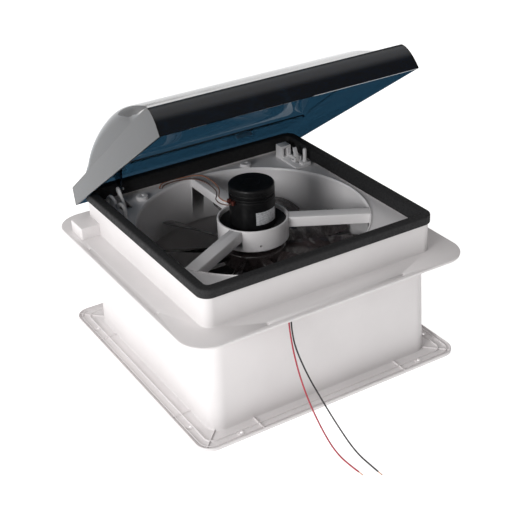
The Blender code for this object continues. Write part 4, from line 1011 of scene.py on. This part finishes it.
def lid_section(u, arc_steps):
    """Points (x, w) over the dome at u, from one top edge to the other, with a round shoulder at each."""
    rise = lid_dome(u)
    drop = min(rise, DOME_SHOULDER)
    ledge = min(CREASE_LEDGE, rise * 0.3)
    half = []
    for step in range(arc_steps + 1):
        angle = math.pi / 2 * step / arc_steps
        x = lid_half(u, 1) - ledge - DOME_SHOULDER * (1 - math.cos(angle))
        half.append((x, lid_crease(u) + rise - drop * (1 - math.sin(angle))))
    return [(-x, w) for x, w in half] + half[::-1]


def lid_stations():
    """Distances from the rear edge, closer together where the dome starts steeply."""
    stations = [LID_DRAFT + (DOME_START - LID_DRAFT) * step / 6 for step in range(7)]
    for step in range(1, 25):
        angle = math.radians(90 * step / 24)
        stations.append(DOME_START + (DOME_PEAK - DOME_START) * (1 - math.cos(angle)))
    end = lid_front(1)
    return stations + [DOME_PEAK + (end - DOME_PEAK) * step / 28 for step in range(1, 29)]


def patch(bm, rows):
    """A grid of faces over equally long rows of points."""
    grid = [[bm.verts.new(point) for point in row] for row in rows]
    for low, high in zip(grid, grid[1:]):
        for i in range(len(low) - 1):
            bm.faces.new((low[i], low[i + 1], high[i + 1], high[i]))


def make_lid():
    bm = bmesh.new()
    shares = [math.sin(math.radians(90 * step / SIDE_ARC_STEPS)) for step in range(SIDE_ARC_STEPS + 1)]
    stations = lid_stations()
    sections = [lid_section(u, LID_ARC_STEPS) for u in stations]
    patch(bm, [[lid_point(x, u, w) for x, w in section] for u, section in zip(stations, sections)])
    for side, edge in ((-1, 0), (1, -1)):
        wall = []
        for share in shares:
            ends = (LID_DRAFT * share, lid_front(share))
            row = []
            for station in stations:
                along = (station - stations[0]) / (stations[-1] - stations[0])
                u = ends[0] + (ends[1] - ends[0]) * along
                row.append(lid_point(side * lid_half(u, share), u, share * lid_crease(u)))
            wall.append(row)
        top, ledge = [], []
        for u, section in zip(stations, sections):
            top.append(lid_point(section[edge][0], u, section[edge][1]))
            inward = lid_half(u, 1) - abs(section[edge][0])
            foot = lid_crease(u) + min(CREASE_FOOT, inward)
            ledge.append(lid_point(section[edge][0], u, min(foot, section[edge][1])))
        patch(bm, wall + [ledge, top])
    for section, place in ((sections[0], lambda share: LID_DRAFT * share), (sections[-1], lid_front)):
        rows = []
        for share in shares:
            u = place(share)
            scale = lid_half(u, share) / section[-1][0]
            rows.append([lid_point(x * scale, u, share * lid_crease(u)) for x, _ in section])
        patch(bm, rows)
    bmesh.ops.remove_doubles(bm, verts=bm.verts, dist=LID_SEAM)
    bmesh.ops.dissolve_degenerate(bm, edges=bm.edges, dist=LID_SEAM)
    lid = from_bmesh("smoked_lid", bm, LID, 40)
    edges = lid.modifiers.new("edges", "BEVEL")
    edges.width = LID_EDGE
    edges.segments = 3
    edges.limit_method = "ANGLE"
    edges.angle_limit = math.radians(48)
    weld = lid.modifiers.new("weld", "WELD")
    weld.merge_threshold = LID_WELD
    baked(lid, 40)
    solid = lid.modifiers.new("wall", "SOLIDIFY")
    solid.thickness = LID_WALL
    solid.offset = -1
    solid.use_even_offset = True
    solid.thickness_clamp = 0.0
    baked(lid, 40)
    join(lid, make_lug())
    pivot = lid_point(LUG_X, LID_REAR - LUG_Y, LUG_Z - LID_RIM)
    cut(lid, rod("lug_bore", pivot, (1, 0, 0), CUTTER_LENGTH, LUG_BORE_RADIUS, sides=32))
    keep(lid, "lid_shell")


def make_lug():
    """The three-cornered lug that hangs from the lid to the lift link."""
    low_x, high_x = LUG_X + 2.4 * MM, LUG_X + 5.4 * MM
    pin_u, pin_w = LID_REAR - LUG_Y, LUG_Z - LID_RIM
    outline = []
    for step in range(13):
        angle = math.radians(180 + 180 * step / 12)
        outline.append((pin_u - LUG_RADIUS * math.cos(angle), pin_w + LUG_RADIUS * math.sin(angle)))
    low_u, high_u = pin_u - 4 * MM, DOME_START - 2 * MM
    for step in range(11):
        u = low_u + (high_u - low_u) * step / 10
        outline.append((u, lid_crease(u) - LID_WALL * 0.6))
    bm = bmesh.new()
    rings = [[bm.verts.new(lid_point(x, u, w)) for u, w in outline] for x in (low_x, high_x)]
    bridge(bm, rings, False)
    bm.faces.new(rings[0])
    bm.faces.new(rings[1])
    return from_bmesh("lug", bm, LID)


make_lid()


# ---------------------------------------------------------------- the CAD pieces that stay


CAD_WELD, CAD_EDGE = 0.01 * MM, 0.3 * MM


def finish_cad_nodes():
    """Each remaining CAD node keeps its shape, gets softened edges and a material for its slot."""
    for name, node in frame["nodes"].items():
        node.data.materials.clear()
        node.data.materials.append(NODE_MATERIALS.get(name, SLOT_MATERIALS[NODE_SLOT[name]]))
        if node.hide_render:
            continue
        node.data.shade_smooth()
        weld = node.modifiers.new("weld", "WELD")
        weld.merge_threshold = CAD_WELD
        flatten = node.modifiers.new("flatten", "DECIMATE")
        flatten.decimate_type = "DISSOLVE"
        flatten.angle_limit = math.radians(2)
        bevel = node.modifiers.new("edges", "BEVEL")
        bevel.width = CAD_EDGE
        bevel.segments = 2
        bevel.limit_method = "ANGLE"
        bevel.angle_limit = math.radians(35)
        bevel.harden_normals = True


finish_cad_nodes()


# ---------------------------------------------------------------- stage and lights


FLOOR_HALF, FLOOR_DROP = 6, 0.2 * MM
KEY_PLACE, KEY_AIM, KEY_SIZE, KEY_POWER = (-2.1, -0.95, 0.95), (0, 0, 0.15), (0.8, 0.8), 27


def make_stage():
    bm = bmesh.new()
    bmesh.ops.create_grid(bm, x_segments=2, y_segments=2, size=FLOOR_HALF)
    floor = from_bmesh("floor", bm, pale_floor())
    floor.location.z = -FLOOR_DROP


def area_light(name, place, aim, size, power):
    """A soft rectangular lamp that faces its aim."""
    data = bpy.data.lights.new(name, "AREA")
    data.shape = "RECTANGLE"
    data.size, data.size_y = size
    data.energy = power
    light = bpy.data.objects.new(name, data)
    bpy.context.scene.collection.objects.link(light)
    light.location = place
    light.rotation_mode = "QUATERNION"
    light.rotation_quaternion = (Vector(aim) - Vector(place)).to_track_quat("-Z", "Y")


# The studio walls: how bright each is, the way it faces, and the cosines between which it fades in.
WALLS = (
    ("left", 0.74, (-0.86, 0.14, 0.46), 0.08, 0.93),
    ("above", 0.6, (0.45, 0.25, 0.86), 0.83, 0.97),
    ("rear", 0.5, (-0.1, 1.0, 0.12), 0.8, 0.98),
)
# How bright the studio is outside its walls.
DARKEST = 0.14


def make_world():
    world = bpy.data.worlds.new("studio")
    bpy.context.scene.world = world
    world.use_nodes = True
    nodes, links = world.node_tree.nodes, world.node_tree.links
    direction = nodes.new("ShaderNodeTexCoord").outputs["Generated"]
    total = None
    for name, strength, way, fade_from, fade_to in WALLS:
        dot = nodes.new("ShaderNodeVectorMath")
        dot.operation = "DOT_PRODUCT"
        links.new(direction, dot.inputs[0])
        dot.inputs[1].default_value = Vector(way).normalized()
        fade = nodes.new("ShaderNodeMapRange")
        fade.interpolation_type = "SMOOTHSTEP"
        fade.inputs["From Min"].default_value = fade_from
        fade.inputs["From Max"].default_value = fade_to
        fade.inputs["To Min"].default_value = 0
        fade.inputs["To Max"].default_value = strength
        links.new(dot.outputs["Value"], fade.inputs["Value"])
        add = nodes.new("ShaderNodeMath")
        add.operation = "ADD"
        links.new(fade.outputs["Result"], add.inputs[0])
        if total is None:
            add.inputs[1].default_value = DARKEST
        else:
            links.new(total, add.inputs[1])
        total = add.outputs["Value"]
    background = nodes["Background"]
    background.inputs["Color"].default_value = (1, 0.985, 0.98, 1)
    links.new(total, background.inputs["Strength"])


make_stage()
make_world()
area_light("key", KEY_PLACE, KEY_AIM, KEY_SIZE, KEY_POWER)
bpy.context.scene.view_settings.view_transform = "Standard"

import json
